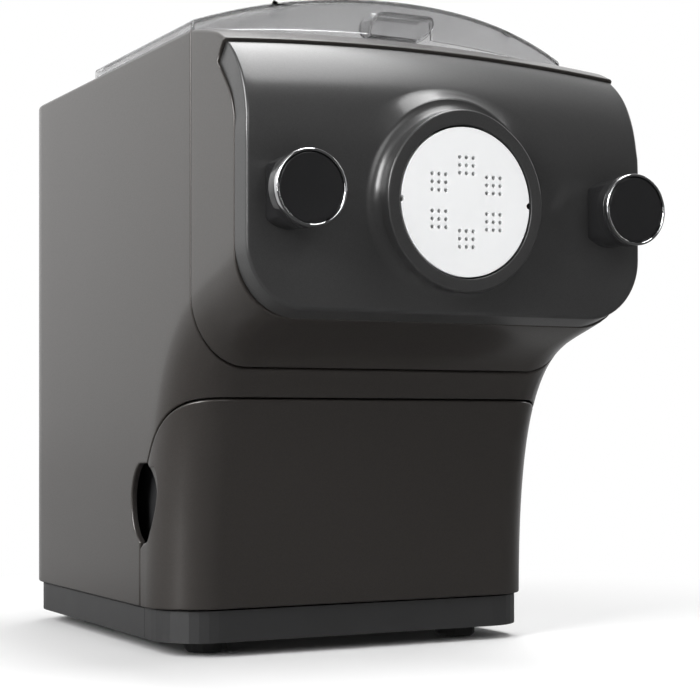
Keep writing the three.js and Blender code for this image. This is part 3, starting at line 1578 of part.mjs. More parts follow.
function motorCan() {
  const endY = gearPlateY - seatGap;
  const bore = motorShaftRadius + runGap;
  return turned([
    [bore, motorFrontY], [motorRadius - motorBevel, motorFrontY], [motorRadius, motorFrontY + motorBevel],
    [motorRadius, endY - motorBevel], [motorRadius - motorBevel, endY], [motorBossRadius, endY],
    [motorBossRadius, gearPlateY + gearPlateWall / 2], [bore, gearPlateY + gearPlateWall / 2],
    [bore, motorFrontY],
  ], 0, motorZ, innerSteps);
}

function coolingFan() {
  const [frontY, endY] = [fanFrontY + seatGap, fanFrontY + fanDepth];
  const blades = Array.from({ length: fanBlades }, (unused, index) => {
    const reach = fanRadius - fanHub / 2;
    const geometry = new THREE.BoxGeometry(reach, fanDepth, fanBladeWall);
    geometry.rotateX(fanPitch);
    geometry.translate(fanHub / 2 + reach / 2, 0, 0);
    geometry.rotateY((fullTurn * index) / fanBlades);
    geometry.translate(0, (frontY + endY) / 2, motorZ);
    return solid(geometry);
  });
  const limit = rod(fanRadius, frontY, endY, 0, motorZ);
  const hub = rod(fanHub, frontY, endY, 0, motorZ, smallSteps);
  return joined([hub, ...blades]).intersect(limit)
    .subtract(rod(motorShaftRadius + seatGap, frontY - overrun, endY + overrun, 0, motorZ, smallSteps));
}

const powerBoardTopZ = 124;

function powerBoard() {
  return block([boardX, boardX + boardWall], [boardFrontY, boardBackY], [baseTopZ + seatGap, powerBoardTopZ]);
}

add('output_gear', outputGear(), finishes.gearNylon);
add('idler_gear', idlerGear(), finishes.gearNylon);
add('idler_axle', idlerAxle(), finishes.steel);
add('gear_plate', gearPlate(), finishes.steel);
add('gear_cover', gearCover(), finishes.steel);
add('front_bearing', shaftBearing(gearPlateY - gearSideGap), finishes.brass);
add('rear_bearing', shaftBearing(gearCoverY - gearSideGap), finishes.brass);
add('motor_can', motorCan(), finishes.castAlloy);
add('motor_shaft', motorShaft(), finishes.steel);
add('cooling_fan', coolingFan(), finishes.innerBlack);
add('power_board', powerBoard(), finishes.boardGreen);

export default machine;
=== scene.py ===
import json
import math

import bmesh
import bpy
from mathutils import Matrix, Vector


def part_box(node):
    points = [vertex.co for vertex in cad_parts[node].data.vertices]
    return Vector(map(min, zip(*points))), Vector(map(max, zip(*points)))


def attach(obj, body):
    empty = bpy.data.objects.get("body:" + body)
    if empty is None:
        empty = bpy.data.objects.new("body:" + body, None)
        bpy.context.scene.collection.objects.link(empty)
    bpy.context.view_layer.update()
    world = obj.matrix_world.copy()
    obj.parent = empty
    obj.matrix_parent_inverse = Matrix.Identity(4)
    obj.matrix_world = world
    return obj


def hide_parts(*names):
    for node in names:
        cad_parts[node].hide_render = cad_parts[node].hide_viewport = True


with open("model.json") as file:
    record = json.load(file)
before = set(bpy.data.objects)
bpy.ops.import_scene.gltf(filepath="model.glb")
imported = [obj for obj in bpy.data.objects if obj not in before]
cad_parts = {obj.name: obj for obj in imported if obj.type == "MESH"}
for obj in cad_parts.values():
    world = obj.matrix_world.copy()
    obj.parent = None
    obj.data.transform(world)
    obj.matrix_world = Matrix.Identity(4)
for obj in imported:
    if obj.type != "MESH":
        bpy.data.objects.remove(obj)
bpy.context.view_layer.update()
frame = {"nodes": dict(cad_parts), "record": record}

# The studio: a pale floor that runs out to a white background. The light comes from a large
# softbox high on the left, a narrow strip below it for the rounded edges, a long one overhead
# and weak ones in front and on the right, with a darker room behind the camera.
scene = bpy.context.scene
scene.view_settings.view_transform = "Standard"


def lamp(name, place, aim, width, height, power):
    data = bpy.data.lights.new(name, "AREA")
    data.shape = "RECTANGLE"
    data.size = width
    data.size_y = height
    data.energy = power
    holder = bpy.data.objects.new(name, data)
    holder.location = place
    holder.rotation_euler = (Vector(aim) - Vector(place)).to_track_quat("-Z", "Y").to_euler()
    scene.collection.objects.link(holder)


lamp("left_softbox", (-2.3, -0.75, 1.5), (0, 0, 0.16), 1.5, 1.5, 88)
lamp("top_softbox", (0.5, 0.0, 2.2), (0, -0.05, 0.2), 2.6, 0.9, 46)
lamp("front_softbox", (-0.2, -2.4, 1.3), (0, 0, 0.2), 1.2, 0.8, 11)
lamp("left_strip", (-2.2, -1.15, 0.6), (0, 0, 0.2), 0.35, 1.4, 13)
lamp("right_softbox", (2.2, -0.2, 1.1), (0, 0, 0.16), 0.6, 1.4, 9)


def room_world():
    world = bpy.data.worlds.new("studio_room")
    world.use_nodes = True
    nodes = world.node_tree.nodes
    links = world.node_tree.links
    nodes.clear()
    rays = nodes.new("ShaderNodeLightPath")
    direction = nodes.new("ShaderNodeTexCoord")
    axes = nodes.new("ShaderNodeSeparateXYZ")
    links.new(direction.outputs["Generated"], axes.inputs[0])
    behind = nodes.new("ShaderNodeMapRange")
    behind.inputs["From Min"].default_value = -0.25
    behind.inputs["From Max"].default_value = 0.75
    links.new(axes.outputs["Y"], behind.inputs["Value"])
    raised = nodes.new("ShaderNodeMapRange")
    raised.inputs["From Min"].default_value = -0.08
    raised.inputs["From Max"].default_value = 0.24
    raised.inputs["To Min"].default_value = 0.55
    links.new(axes.outputs["Z"], raised.inputs["Value"])
    backdrop = nodes.new("ShaderNodeMath")
    backdrop.operation = "MULTIPLY"
    links.new(behind.outputs[0], backdrop.inputs[0])
    links.new(raised.outputs[0], backdrop.inputs[1])
    in_gloss = nodes.new("ShaderNodeMath")
    in_gloss.operation = "MULTIPLY"
    links.new(backdrop.outputs[0], in_gloss.inputs[0])
    links.new(rays.outputs["Is Glossy Ray"], in_gloss.inputs[1])
    seen = nodes.new("ShaderNodeMath")
    seen.operation = "MAXIMUM"
    links.new(rays.outputs["Is Camera Ray"], seen.inputs[0])
    links.new(in_gloss.outputs[0], seen.inputs[1])
    seen_through = nodes.new("ShaderNodeMath")
    seen_through.operation = "MAXIMUM"
    links.new(seen.outputs[0], seen_through.inputs[0])
    links.new(rays.outputs["Is Transmission Ray"], seen_through.inputs[1])
    room = nodes.new("ShaderNodeBackground")
    room.inputs["Color"].default_value = (0.06, 0.06, 0.06, 1)
    white = nodes.new("ShaderNodeBackground")
    white.inputs["Color"].default_value = (1, 1, 1, 1)
    both = nodes.new("ShaderNodeMixShader")
    links.new(seen_through.outputs[0], both.inputs[0])
    links.new(room.outputs[0], both.inputs[1])
    links.new(white.outputs[0], both.inputs[2])
    output = nodes.new("ShaderNodeOutputWorld")
    links.new(both.outputs[0], output.inputs["Surface"])
    return world


def floor_finish():
    material = bpy.data.materials.new("floor_paper")
    material.use_nodes = True
    nodes = material.node_tree.nodes
    links = material.node_tree.links
    paper = nodes["Principled BSDF"]
    paper.inputs["Base Color"].default_value = (0.92, 0.92, 0.92, 1)
    paper.inputs["Roughness"].default_value = 0.9
    place = nodes.new("ShaderNodeTexCoord")
    away = nodes.new("ShaderNodeVectorMath")
    away.operation = "LENGTH"
    links.new(place.outputs["Object"], away.inputs[0])
    fade = nodes.new("ShaderNodeMapRange")
    fade.interpolation_type = "SMOOTHSTEP"
    fade.inputs["From Min"].default_value = 0.17
    fade.inputs["From Max"].default_value = 0.46
    links.new(away.outputs["Value"], fade.inputs["Value"])
    rays = nodes.new("ShaderNodeLightPath")
    axes = nodes.new("ShaderNodeSeparateXYZ")
    links.new(place.outputs["Object"], axes.inputs[0])
    behind = nodes.new("ShaderNodeMapRange")
    behind.inputs["From Min"].default_value = -0.1
    behind.inputs["From Max"].default_value = 0.5
    behind.inputs["To Min"].default_value = 0.06
    behind.inputs["To Max"].default_value = 0.5
    links.new(axes.outputs["Y"], behind.inputs["Value"])
    seen = nodes.new("ShaderNodeMath")
    seen.operation = "MAXIMUM"
    links.new(rays.outputs["Is Camera Ray"], seen.inputs[0])
    links.new(rays.outputs["Is Transmission Ray"], seen.inputs[1])
    faded = nodes.new("ShaderNodeMath")
    faded.operation = "MULTIPLY"
    links.new(fade.outputs[0], faded.inputs[0])
    links.new(seen.outputs[0], faded.inputs[1])
    share = nodes.new("ShaderNodeMath")
    share.operation = "MAXIMUM"
    links.new(faded.outputs[0], share.inputs[0])
    links.new(rays.outputs["Is Glossy Ray"], share.inputs[1])
    strength = nodes.new("ShaderNodeMix")
    strength.inputs["A"].default_value = 1
    links.new(rays.outputs["Is Glossy Ray"], strength.inputs["Factor"])
    links.new(behind.outputs[0], strength.inputs["B"])
    white = nodes.new("ShaderNodeEmission")
    links.new(strength.outputs["Result"], white.inputs["Strength"])
    both = nodes.new("ShaderNodeMixShader")
    links.new(share.outputs[0], both.inputs[0])
    links.new(paper.outputs[0], both.inputs[1])
    links.new(white.outputs[0], both.inputs[2])
    links.new(both.outputs[0], nodes["Material Output"].inputs["Surface"])
    return material


scene.world = room_world()
floor_mesh = bmesh.new()
bmesh.ops.create_circle(floor_mesh, cap_ends=True, segments=96, radius=9)
floor_data = bpy.data.meshes.new("floor")
floor_mesh.to_mesh(floor_data)
floor_mesh.free()
floor_data.materials.append(floor_finish())
floor = bpy.data.objects.new("floor", floor_data)
scene.collection.objects.link(floor)

# The camera stands low in front of the machine's left corner, level, and its lens is raised
# so that the machine fills the frame.
camera_data = bpy.data.cameras.new("camera")
camera_data.lens = 91.32
camera_data.shift_y = 0.1041
camera = bpy.data.objects.new("camera", camera_data)
camera.location = (-0.43075, -0.85725, 0.1159)
camera.rotation_euler = (math.radians(90), 0, math.radians(-27.86))
scene.collection.objects.link(camera)
scene.camera = camera

# The housing: a metallic grey moulding with a satin lacquer, 3 mm thick. Its two sides and its
# back are flat with wide corner roundings, its deck is slightly crowned, and its front is cut
# away for the drawer and the head.
body_low, body_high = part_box("body_shell")
half_width = body_high.x
back_y = body_high.y
foot_z = body_low.z
deck_crown = 0.0047
deck_z = body_high.z - deck_crown
front_corner = 0.028
rear_corner = 0.035
body_wall = 0.003
seam_gap = 0.0006
seam_edge = 0.0009
top_edge = 0.0016
head_seam_y = -0.0852
drawer_back_y = -0.0198
drawer_top_y = -0.076
drawer_top_z = 0.1275
drawer_spring_z = 0.0525
crown_start_z = 0.2515
crown_full_z = 0.285
finger_y = -0.024
finger_z = 0.076
finger_half_y = 0.016
finger_half_z = 0.021
cove = [(-0.0572, 0.0236), (-0.0572, 0.1664), (-0.0999, 0.1458), (-0.150, 0.1688)]


def cove_point(share):
    """Place and unit direction on the front's side profile, as (y, z) pairs."""
    rest = 1 - share
    weights = (rest ** 3, 3 * rest * rest * share, 3 * rest * share * share, share ** 3)
    place = [sum(w * p[i] for w, p in zip(weights, cove)) for i in (0, 1)]
    slopes = (rest * rest, 2 * rest * share, share * share)
    along = [sum(s * (cove[k + 1][i] - cove[k][i]) for k, s in enumerate(slopes)) for i in (0, 1)]
    size = math.hypot(*along)
    return place, (along[0] / size, along[1] / size)


def cove_inset(share, inset):
    """The profile's point, drawn in square to the surface."""
    (y, z), (along_y, along_z) = cove_point(share)
    return y + along_z * inset, z - along_y * inset


def cove_share(value, inset, axis):
    """The share at which the drawn-in profile reaches a depth (axis 0) or a height (axis 1)."""
    low, high = 0.0, 1.0
    rising = axis == 1
    for _ in range(26):
        middle = (low + high) / 2
        if (cove_inset(middle, inset)[axis] < value) == rising:
            low = middle
        else:
            high = middle
    return (low + high) / 2


def corner_inset(x, radius):
    past = max(abs(x) - (half_width - radius), 0)
    return radius - math.sqrt(max(radius * radius - past * past, 0))


def drawer_seam_y(z, gap):
    """The drawer's seam on the side at one height: straight, then a quarter of an ellipse."""
    reach = drawer_back_y - drawer_top_y + gap
    rise = drawer_top_z - drawer_spring_z + gap
    share = min(max((z - drawer_spring_z) / rise, 0), 1)
    return drawer_top_y + reach * math.sqrt(1 - share * share)


def finger_reach(z):
    share = (z - finger_z) / finger_half_z
    return finger_half_y * math.sqrt(1 - share * share) if abs(share) < 1 else 0


def crown_lift(x, z):
    share = min(max((z - crown_start_z) / (crown_full_z - crown_start_z), 0), 1)
    return share * deck_crown * (1 - (x / half_width) ** 2)


front_turns = 14
front_flats = 6
front_stations = [(half_width - front_corner) * i / front_flats for i in range(front_flats)]
front_stations += [half_width - front_corner + front_corner * math.sin(math.pi / 2 * i / front_turns)
                   for i in range(front_turns + 1)]


def front_point(x, share):
    """A point of the front, where its corner rounding draws it in by its distance from the side."""
    return (x, *cove_inset(share, corner_inset(x, front_corner)))


def seam_share(x, gap):
    """The share of the front's profile at which the drawer's seam crosses it."""
    low, high = 0.0, 1.0
    for _ in range(26):
        middle = (low + high) / 2
        y, z = front_point(x, middle)[1:]
        below = z < drawer_top_z + gap and y < drawer_seam_y(z, gap)
        low, high = (middle, high) if below else (low, middle)
    return (low + high) / 2


def wrapped(mesh, columns, rows, place):
    """A grid whose corners, edges and cells lie where place(column, row) says."""
    grid = bmesh.ops.create_grid(mesh, x_segments=columns, y_segments=rows, size=0.5)
    for vertex in grid["verts"]:
        column = round((vertex.co.x + 0.5) * columns)
        row = round((vertex.co.y + 0.5) * rows)
        vertex.co = place(column, row)


def piece(name, mesh, body, slot, finish, *nodes):
    """A finished mesh as a piece that rides on a body and stands for the nodes."""
    data = bpy.data.meshes.new(name)
    mesh.to_mesh(data)
    mesh.free()
    for face in data.polygons:
        face.use_smooth = True
    made = bpy.data.objects.new(name, data)
    scene.collection.objects.link(made)
    data.materials.append(finish)
    made.modifiers.new("shading", "WEIGHTED_NORMAL")
    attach(made, body)
    if nodes:
        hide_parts(*nodes)


def rolled(mesh, wall, radius, steps=4):
    """Gives a skin its wall, inwards, with every open edge rolled over to a small radius."""
    mesh.normal_update()
    mesh.verts.index_update()
    edges = [edge for edge in mesh.edges if edge.is_boundary]
    lips = {}
    for edge in edges:
        start, end = (loop.vert for loop in (edge.link_loops[0], edge.link_loops[0].link_loop_next))
        along = (end.co - start.co).normalized()
        for vertex in (start, end):
            lips.setdefault(vertex.index, [vertex.co.copy(), vertex.normal.copy(), Vector()])[2] += along
    skin = [*mesh.verts, *mesh.edges, *mesh.faces]
    inner = bmesh.ops.duplicate(mesh, geom=skin)
    inner_faces = [item for item in inner["geom"] if isinstance(item, bmesh.types.BMFace)]
    for vertex in [item for item in inner["geom"] if isinstance(item, bmesh.types.BMVert)]:
        vertex.co -= vertex.normal * wall
    bmesh.ops.reverse_faces(mesh, faces=inner_faces)
    keys = {tuple(round(c, 7) for c in lip[0]): lip for lip in lips.values()}
    for step in range(1, steps + 3):
        made = bmesh.ops.extrude_edge_only(mesh, edges=edges)["geom"]
        edges = [item for item in made if isinstance(item, bmesh.types.BMEdge)]
        moved = {}
        for vertex in [item for item in made if isinstance(item, bmesh.types.BMVert)]:
            lip = keys[tuple(round(c, 7) for c in vertex.co)]
            origin, normal, along = lip
            outwards = along.normalized().cross(normal)
            angle = math.pi / 2 * min(step, steps) / steps
            deep = wall if step > steps else radius * (1 - math.cos(angle))
            proud = 0 if step == steps + 2 else radius * math.sin(angle)
            vertex.co = origin + outwards * proud - normal * deep
            moved[tuple(round(c, 7) for c in vertex.co)] = lip
        keys = moved
    bmesh.ops.remove_doubles(mesh, verts=mesh.verts, dist=1e-6)
    return mesh


def eased(mesh, radius, angle):
    """Rounds the sharp folds inside a skin."""
    folds = [edge for edge in mesh.edges if len(edge.link_faces) == 2
             and edge.calc_face_angle() > math.radians(angle)]
    bmesh.ops.bevel(mesh, geom=folds, offset=radius, segments=3, profile=0.5,
                    affect="EDGES", material=-1, clamp_overlap=False)
    return mesh


def lacquer(name, colour, metal, roughness, coat):
    """Metallic lacquer: fine flakes, a faint orange peel and a thin clear coat."""
    material = bpy.data.materials.new(name)
    material.use_nodes = True
    nodes = material.node_tree.nodes
    links = material.node_tree.links
    paint = nodes["Principled BSDF"]
    paint.inputs["Metallic"].default_value = metal
    paint.inputs["Coat Weight"].default_value = coat
    paint.inputs["Coat Roughness"].default_value = 0.2
    place = nodes.new("ShaderNodeTexCoord")
    flakes = nodes.new("ShaderNodeTexVoronoi")
    flakes.inputs["Scale"].default_value = 2600
    links.new(place.outputs["Object"], flakes.inputs["Vector"])
    tone = nodes.new("ShaderNodeValToRGB")
    tone.color_ramp.elements[0].color = [c * 0.86 for c in colour] + [1]
    tone.color_ramp.elements[1].color = [c * 1.14 for c in colour] + [1]
    links.new(flakes.outputs["Color"], tone.inputs["Fac"])
    links.new(tone.outputs["Color"], paint.inputs["Base Color"])
    gloss = nodes.new("ShaderNodeMapRange")
    gloss.inputs["To Min"].default_value = roughness - 0.06
    gloss.inputs["To Max"].default_value = roughness + 0.08
    links.new(flakes.outputs["Distance"], gloss.inputs["Value"])
    links.new(gloss.outputs[0], paint.inputs["Roughness"])
    peel = nodes.new("ShaderNodeTexNoise")
    peel.inputs["Scale"].default_value = 900
    peel.inputs["Detail"].default_value = 3
    links.new(place.outputs["Object"], peel.inputs["Vector"])
    bump = nodes.new("ShaderNodeBump")
    bump.inputs["Strength"].default_value = 0.10
    bump.inputs["Distance"].default_value = 0.0002
    links.new(peel.outputs["Fac"], bump.inputs["Height"])
    links.new(bump.outputs["Normal"], paint.inputs["Normal"])
    return material


body_lacquer = lacquer("body_lacquer", (0.040, 0.0355, 0.0325), 0.40, 0.40, 0.65)

body_gap = seam_gap / 2 + seam_edge
notch_half = finger_half_z * 0.965
notch_margin = 0.0004
side_low = front_point(half_width, seam_share(half_width, body_gap))[2]
neck_shares = [cove_share(head_seam_y + seam_edge, corner_inset(x, front_corner), 0)
               for x in front_stations]
seam_shares = [seam_share(x, body_gap) for x in front_stations]
strip_rows = 10
low_edge_z = foot_z + seam_edge
body_rows = [low_edge_z + (drawer_spring_z - low_edge_z) * i / 3 for i in range(4)]
body_rows += [finger_z - notch_half - notch_margin]
body_rows += [finger_z - notch_half * math.cos(math.pi * i / 18) for i in range(19)]
body_rows += [finger_z + notch_half + notch_margin]
body_rows += [body_rows[-1] + (side_low - body_rows[-1]) * i / 5 for i in range(1, 5)]
neck_rise = neck_shares[-1] - seam_shares[-1]
body_rows += [front_point(half_width, seam_shares[-1] + neck_rise * i / strip_rows)[2]
              for i in range(strip_rows + 1)]
body_rows += [body_rows[-1] + (crown_start_z - body_rows[-1]) * i / 3 for i in range(1, 4)]
body_rows += [crown_start_z + (deck_z - crown_start_z) * i / 5 for i in range(1, 6)]
back_shares = [0, 0.12, 0.24, 0.36, 0.48, 0.58, 0.068 / 0.1075, 0.72, 0.81, 0.90, 0.96, 1]
deck_strips = 16
mouth_half = 0.068
mouth_front_y = -0.071
mouth_back_y = 0.041
rear_flat = half_width - rear_corner
vent_pitch = 0.011
vent_half_x = 0.002
vent_half_z = 0.023
vent_z = 0.089
switch_place = (0.062, 0.048)
switch_half = (0.014, 0.010)
gland_radius = 0.009
back_turn = 0.0006
back_margin = 0.0024


def side_start(z):
    """How far forward the housing's flat side reaches at one height."""
    if z < side_low - 1e-6:
        seam = drawer_seam_y(z, body_gap)
        if abs(z - finger_z) <= notch_half + 1e-7:
            seam = max(seam, finger_y + finger_reach(z) + seam_edge)
        return seam
    front_y = front_point(half_width, cove_share(z, front_corner, 1))[1]
    return max(front_y, head_seam_y + seam_edge)


def body_row(z):
    corner_y = back_y - rear_corner
    start_y = side_start(z)
    middle_y = 0.02
    row = [(half_width, start_y + (middle_y - start_y) * i / 12) for i in range(12)]
    row += [(half_width, middle_y + (corner_y - middle_y) * i / 6) for i in range(7)]
    for i in range(1, 11):
        angle = math.pi / 2 * i / 10
        row.append((rear_flat + rear_corner * math.cos(angle), corner_y + rear_corner * math.sin(angle)))
    row += [(rear_flat * share, back_y) for share in back_shares[-2::-1]]
    return row


def mirrored(mesh):
    bmesh.ops.mirror(mesh, geom=[*mesh.verts, *mesh.edges, *mesh.faces], merge_dist=1e-6, axis="X")
    bmesh.ops.remove_doubles(mesh, verts=mesh.verts, dist=2e-5)
    for vertex in mesh.verts:
        vertex.co.z += crown_lift(vertex.co.x, vertex.co.z)
    bmesh.ops.recalc_face_normals(mesh, faces=mesh.faces)
    return mesh


def once(items):
    """Each item once, in the order in which it came."""
    return list(dict.fromkeys(items))


def back_at(x):
    """The back's surface, which starts to turn forward just inside the switch's outer edge."""
    past = max(abs(x) - rear_flat, 0)
    return back_y - rear_corner + math.sqrt(rear_corner ** 2 - past ** 2)


def rounded_loop(mesh, centre, half, corner, steps=8):
    """A rounded rectangle of edges on the back."""
    circle = bmesh.ops.create_circle(mesh, segments=4 * (steps + 1), radius=1)["verts"]
    order = sorted(circle, key=lambda vertex: math.atan2(vertex.co.y, vertex.co.x) % (2 * math.pi))
    for index, vertex in enumerate(order):
        side, step = divmod(index, steps + 1)
        angle = math.pi / 2 * (side + step / steps)
        signs = ((1, 1), (-1, 1), (-1, -1), (1, -1))[side]
        x = centre[0] + signs[0] * (half[0] - corner) + corner * math.cos(angle)
        z = centre[1] + signs[1] * (half[1] - corner) + corner * math.sin(angle)
        vertex.co = (x, back_at(x), z)
    bmesh.ops.remove_doubles(mesh, verts=circle, dist=1e-6)
    return once(edge for vertex in circle if vertex.is_valid for edge in vertex.link_edges)


def on_back(face):
    return all(vertex.co.y > back_y - back_turn for vertex in face.verts)


def open_back(mesh):
    """Cuts the air slots, the switch's opening and the cord gland's hole into the flat back."""
    slot_half = (vent_half_x + seam_edge, vent_half_z)
    gland_half = gland_radius + seam_edge
    holes = [((slot * vent_pitch, vent_z), slot_half, slot_half[0], back_margin) for slot in range(-3, 4)]
    turned_x = rear_flat + rear_corner * math.sin(math.pi / 20)
    holes.append((switch_place, [half + seam_edge for half in switch_half], seam_edge * 1.4,
                  turned_x - switch_place[0] - switch_half[0] - seam_edge))
    holes.append(((-switch_place[0], switch_place[1]), (gland_half, gland_half), gland_half, back_margin))
    for centre, half, corner, margin in holes:
        low = [centre[i] - half[i] - margin for i in (0, 1)]
        high = [centre[i] + half[i] + margin for i in (0, 1)]
        for place, normal in (((low[0], 0, 0), (1, 0, 0)), ((high[0], 0, 0), (1, 0, 0)),
                              ((0, 0, low[1]), (0, 0, 1)), ((0, 0, high[1]), (0, 0, 1))):
            near = once(item for face in mesh.faces if on_back(face)
                        for item in (face, *face.verts, *face.edges))
            bmesh.ops.bisect_plane(mesh, geom=near, dist=1e-6, plane_co=place, plane_no=normal)
        cell = [face for face in mesh.faces if on_back(face)
                and low[0] < face.calc_center_median().x < high[0]
                and low[1] < face.calc_center_median().z < high[1]]
        rim = [edge for face in cell for edge in face.edges
               if sum(other in cell for other in edge.link_faces) == 1]
        bmesh.ops.delete(mesh, geom=cell, context="FACES")
        rim += rounded_loop(mesh, centre, half, corner)
        bmesh.ops.triangle_fill(mesh, use_beauty=True, use_dissolve=False, edges=rim, normal=(0, 1, 0))
    bmesh.ops.recalc_face_normals(mesh, faces=mesh.faces)
    if next(face for face in mesh.faces if on_back(face)).normal.y < 0:
        bmesh.ops.reverse_faces(mesh, faces=mesh.faces)
    return mesh


def housing_mesh():
    rows = [body_row(z) for z in body_rows]
    mesh = bmesh.new()
    wrapped(mesh, len(rows[0]) - 1, len(rows) - 1,
            lambda column, row: (*rows[row][column], body_rows[row]))
    wrapped(mesh, len(front_stations) - 1, strip_rows,
            lambda column, row: front_point(front_stations[column], seam_shares[column]
                                            + (neck_shares[column] - seam_shares[column]) * row / strip_rows))
    corners = [mesh.verts.new((x, y, deck_z)) for x, y in [(0, rows[-1][0][1]), *rows[-1]]]
    mesh.faces.new(corners)
    bmesh.ops.remove_doubles(mesh, verts=mesh.verts, dist=1e-6)
    for strip in range(1, deck_strips):
        bmesh.ops.bisect_plane(mesh, geom=[*mesh.verts, *mesh.edges, *mesh.faces], dist=1e-6,
                               plane_co=(half_width * strip / deck_strips, 0, 0), plane_no=(1, 0, 0))
    for place, normal in (((0, mouth_front_y, 0), (0, 1, 0)), ((0, mouth_back_y, 0), (0, 1, 0)),
                          ((mouth_half, 0, 0), (1, 0, 0))):
        deck = once(item for face in mesh.faces if face.calc_center_median().z > deck_z - 1e-5
                    for item in (face, *face.verts, *face.edges))
        bmesh.ops.bisect_plane(mesh, geom=deck, dist=1e-6, plane_co=place, plane_no=normal)
    opening = [face for face in mesh.faces
               if face.calc_center_median().z > deck_z - 1e-5
               and abs(face.calc_center_median().x) < mouth_half
               and mouth_front_y < face.calc_center_median().y < mouth_back_y]
    bmesh.ops.delete(mesh, geom=opening, context="FACES")
    return rolled(open_back(eased(mirrored(mesh), top_edge, 60)), body_wall, seam_edge)


piece("housing", housing_mesh(), "root", "body_grey", body_lacquer, "body_shell")

# The head: a second grey moulding in front of the housing, 2.1 mm thick. It carries on the cove
# from below, wraps the panel's rim and slopes up from its front corner to the deck.
shroud_wall = 0.0021
head_edge_y = -0.1344
notch_depth = 0.019
cheek_rise = 0.0383
head_edge_shares = [(0, 0), (0.18, 0.27), (0.51, 0.48), (0.84, 0.64), (1, 0.76), (0.84, 0.85), (0.57, 1)]
shoulder_shares = [(0, 0), (0.26, 0.41), (0.67, 0.79), (1, 1)]
head_corner_y = head_edge_y + notch_depth * head_edge_shares[-1][0]
head_corner_z = crown_start_z + cheek_rise


def between(pairs, value):
    """A smooth curve through pairs of (value, result)."""
    if value <= pairs[0][0]:
        return pairs[0][1]
    for k in range(len(pairs) - 1):
        (x0, y0), (x1, y1) = pairs[k], pairs[k + 1]
        if value <= x1:
            before = pairs[k - 1] if k else (2 * x0 - x1, 2 * y0 - y1)
            after = pairs[k + 2] if k + 2 < len(pairs) else (2 * x1 - x0, 2 * y1 - y0)
            slope0 = (y1 - before[1]) / (x1 - before[0])
            slope1 = (after[1] - y0) / (after[0] - x0)
            run = x1 - x0
            t = (value - x0) / run
            return ((2 * t ** 3 - 3 * t ** 2 + 1) * y0 + (t ** 3 - 2 * t ** 2 + t) * run * slope0
                    + (3 * t ** 2 - 2 * t ** 3) * y1 + (t ** 3 - t ** 2) * run * slope1)
    return pairs[-1][1]


def head_edge(z):
    pairs = [(crown_start_z + cheek_rise * up, head_edge_y + notch_depth * back)
             for back, up in head_edge_shares]
    return between([(0, head_edge_y), *pairs], z) if z > crown_start_z else head_edge_y


def shoulder(y):
    pairs = [(head_corner_y + (head_seam_y - head_corner_y) * back,
              head_corner_z + (deck_z - head_corner_z) * up) for back, up in shoulder_shares]
    return between(pairs, y)


def head_line(column, rows):
    """One line of the head's skin from its rear seam to its front edge."""
    rear_y = head_seam_y - seam_gap - seam_edge
    line = []
    for row in range(rows + 1):
        share = row / rows
        if column <= 16:
            flat = half_width - front_corner
            turn = math.pi / 2 * (column - 6) / 10
            x = flat * column / 6 if column < 6 else flat + front_corner * math.sin(turn)
            inset = corner_inset(x, front_corner)
            y = rear_y + (head_edge_y - rear_y) * share
            t = cove_share(y, inset, 0)
            line.append((x, *cove_inset(t, inset)))
            continue
        up = (column - 16) / 16
        side = min(up, 1)
        front_y = head_edge_y
        for _ in range(12):
            low = cove_inset(cove_share(front_y, front_corner, 0), front_corner)[1]
            z = low + (shoulder(front_y) - low) * side
            front_y = head_edge(z)
        y = rear_y + (front_y - rear_y) * share
        low = cove_inset(cove_share(y, front_corner, 0), front_corner)[1]
        z = low + (shoulder(y) - low) * side
        x = half_width if column <= 32 else half_width * (1 - (column - 32) / 8)
        line.append((x, y, z))
    return line


def head_mesh():
    lines = [head_line(column, 14) for column in range(41)]
    mesh = bmesh.new()
    wrapped(mesh, 40, 14, lambda column, row: lines[column][row])
    return rolled(eased(mirrored(mesh), top_edge, 60), shroud_wall, seam_edge * 0.8)


piece("head", head_mesh(), "root", "body_grey", body_lacquer, "head_shroud")

# The drawer's front: a moulding of the same lacquered grey that carries the housing's form
# round the lower front. Its rear edges have half of each finger recess.
drawer_gap = -seam_gap / 2 - seam_edge
drawer_shares = [seam_share(x, drawer_gap) for x in front_stations]
drawer_side_top = front_point(half_width, drawer_shares[-1])[2]
drawer_rows = [low_edge_z + (drawer_spring_z - low_edge_z) * i / 3 for i in range(4)]
drawer_rows += [finger_z - finger_half_z * math.cos(math.pi * i / 18) for i in range(19)]
drawer_rows += [drawer_rows[-1] + (drawer_side_top - drawer_rows[-1]) * i / 6 for i in range(1, 7)]
drawer_steps = [cove_share(z, front_corner, 1) / drawer_shares[-1] for z in drawer_rows]


def drawer_rear(z):
    """Where the drawer's side ends at one height: at its seam, or at the finger recess."""
    seam = drawer_seam_y(z, drawer_gap)
    if abs(z - finger_z) < finger_half_z:
        return min(seam, finger_y - finger_reach(z) - seam_edge)
    return seam


def drawer_front_point(angle, row):
    x = half_width - front_corner + front_corner * math.sin(angle)
    return front_point(x, seam_share(x, drawer_gap) * drawer_steps[row])


def drawer_turn(row):
    """How far round its corner the drawer's front reaches in one row."""
    rear_y = drawer_rear(drawer_rows[row])
    if drawer_front_point(math.pi / 2, row)[1] <= rear_y:
        return math.pi / 2
    low, high = 0.0, math.pi / 2
    for _ in range(20):
        middle = (low + high) / 2
        low, high = (middle, high) if drawer_front_point(middle, row)[1] < rear_y else (low, middle)
    return low


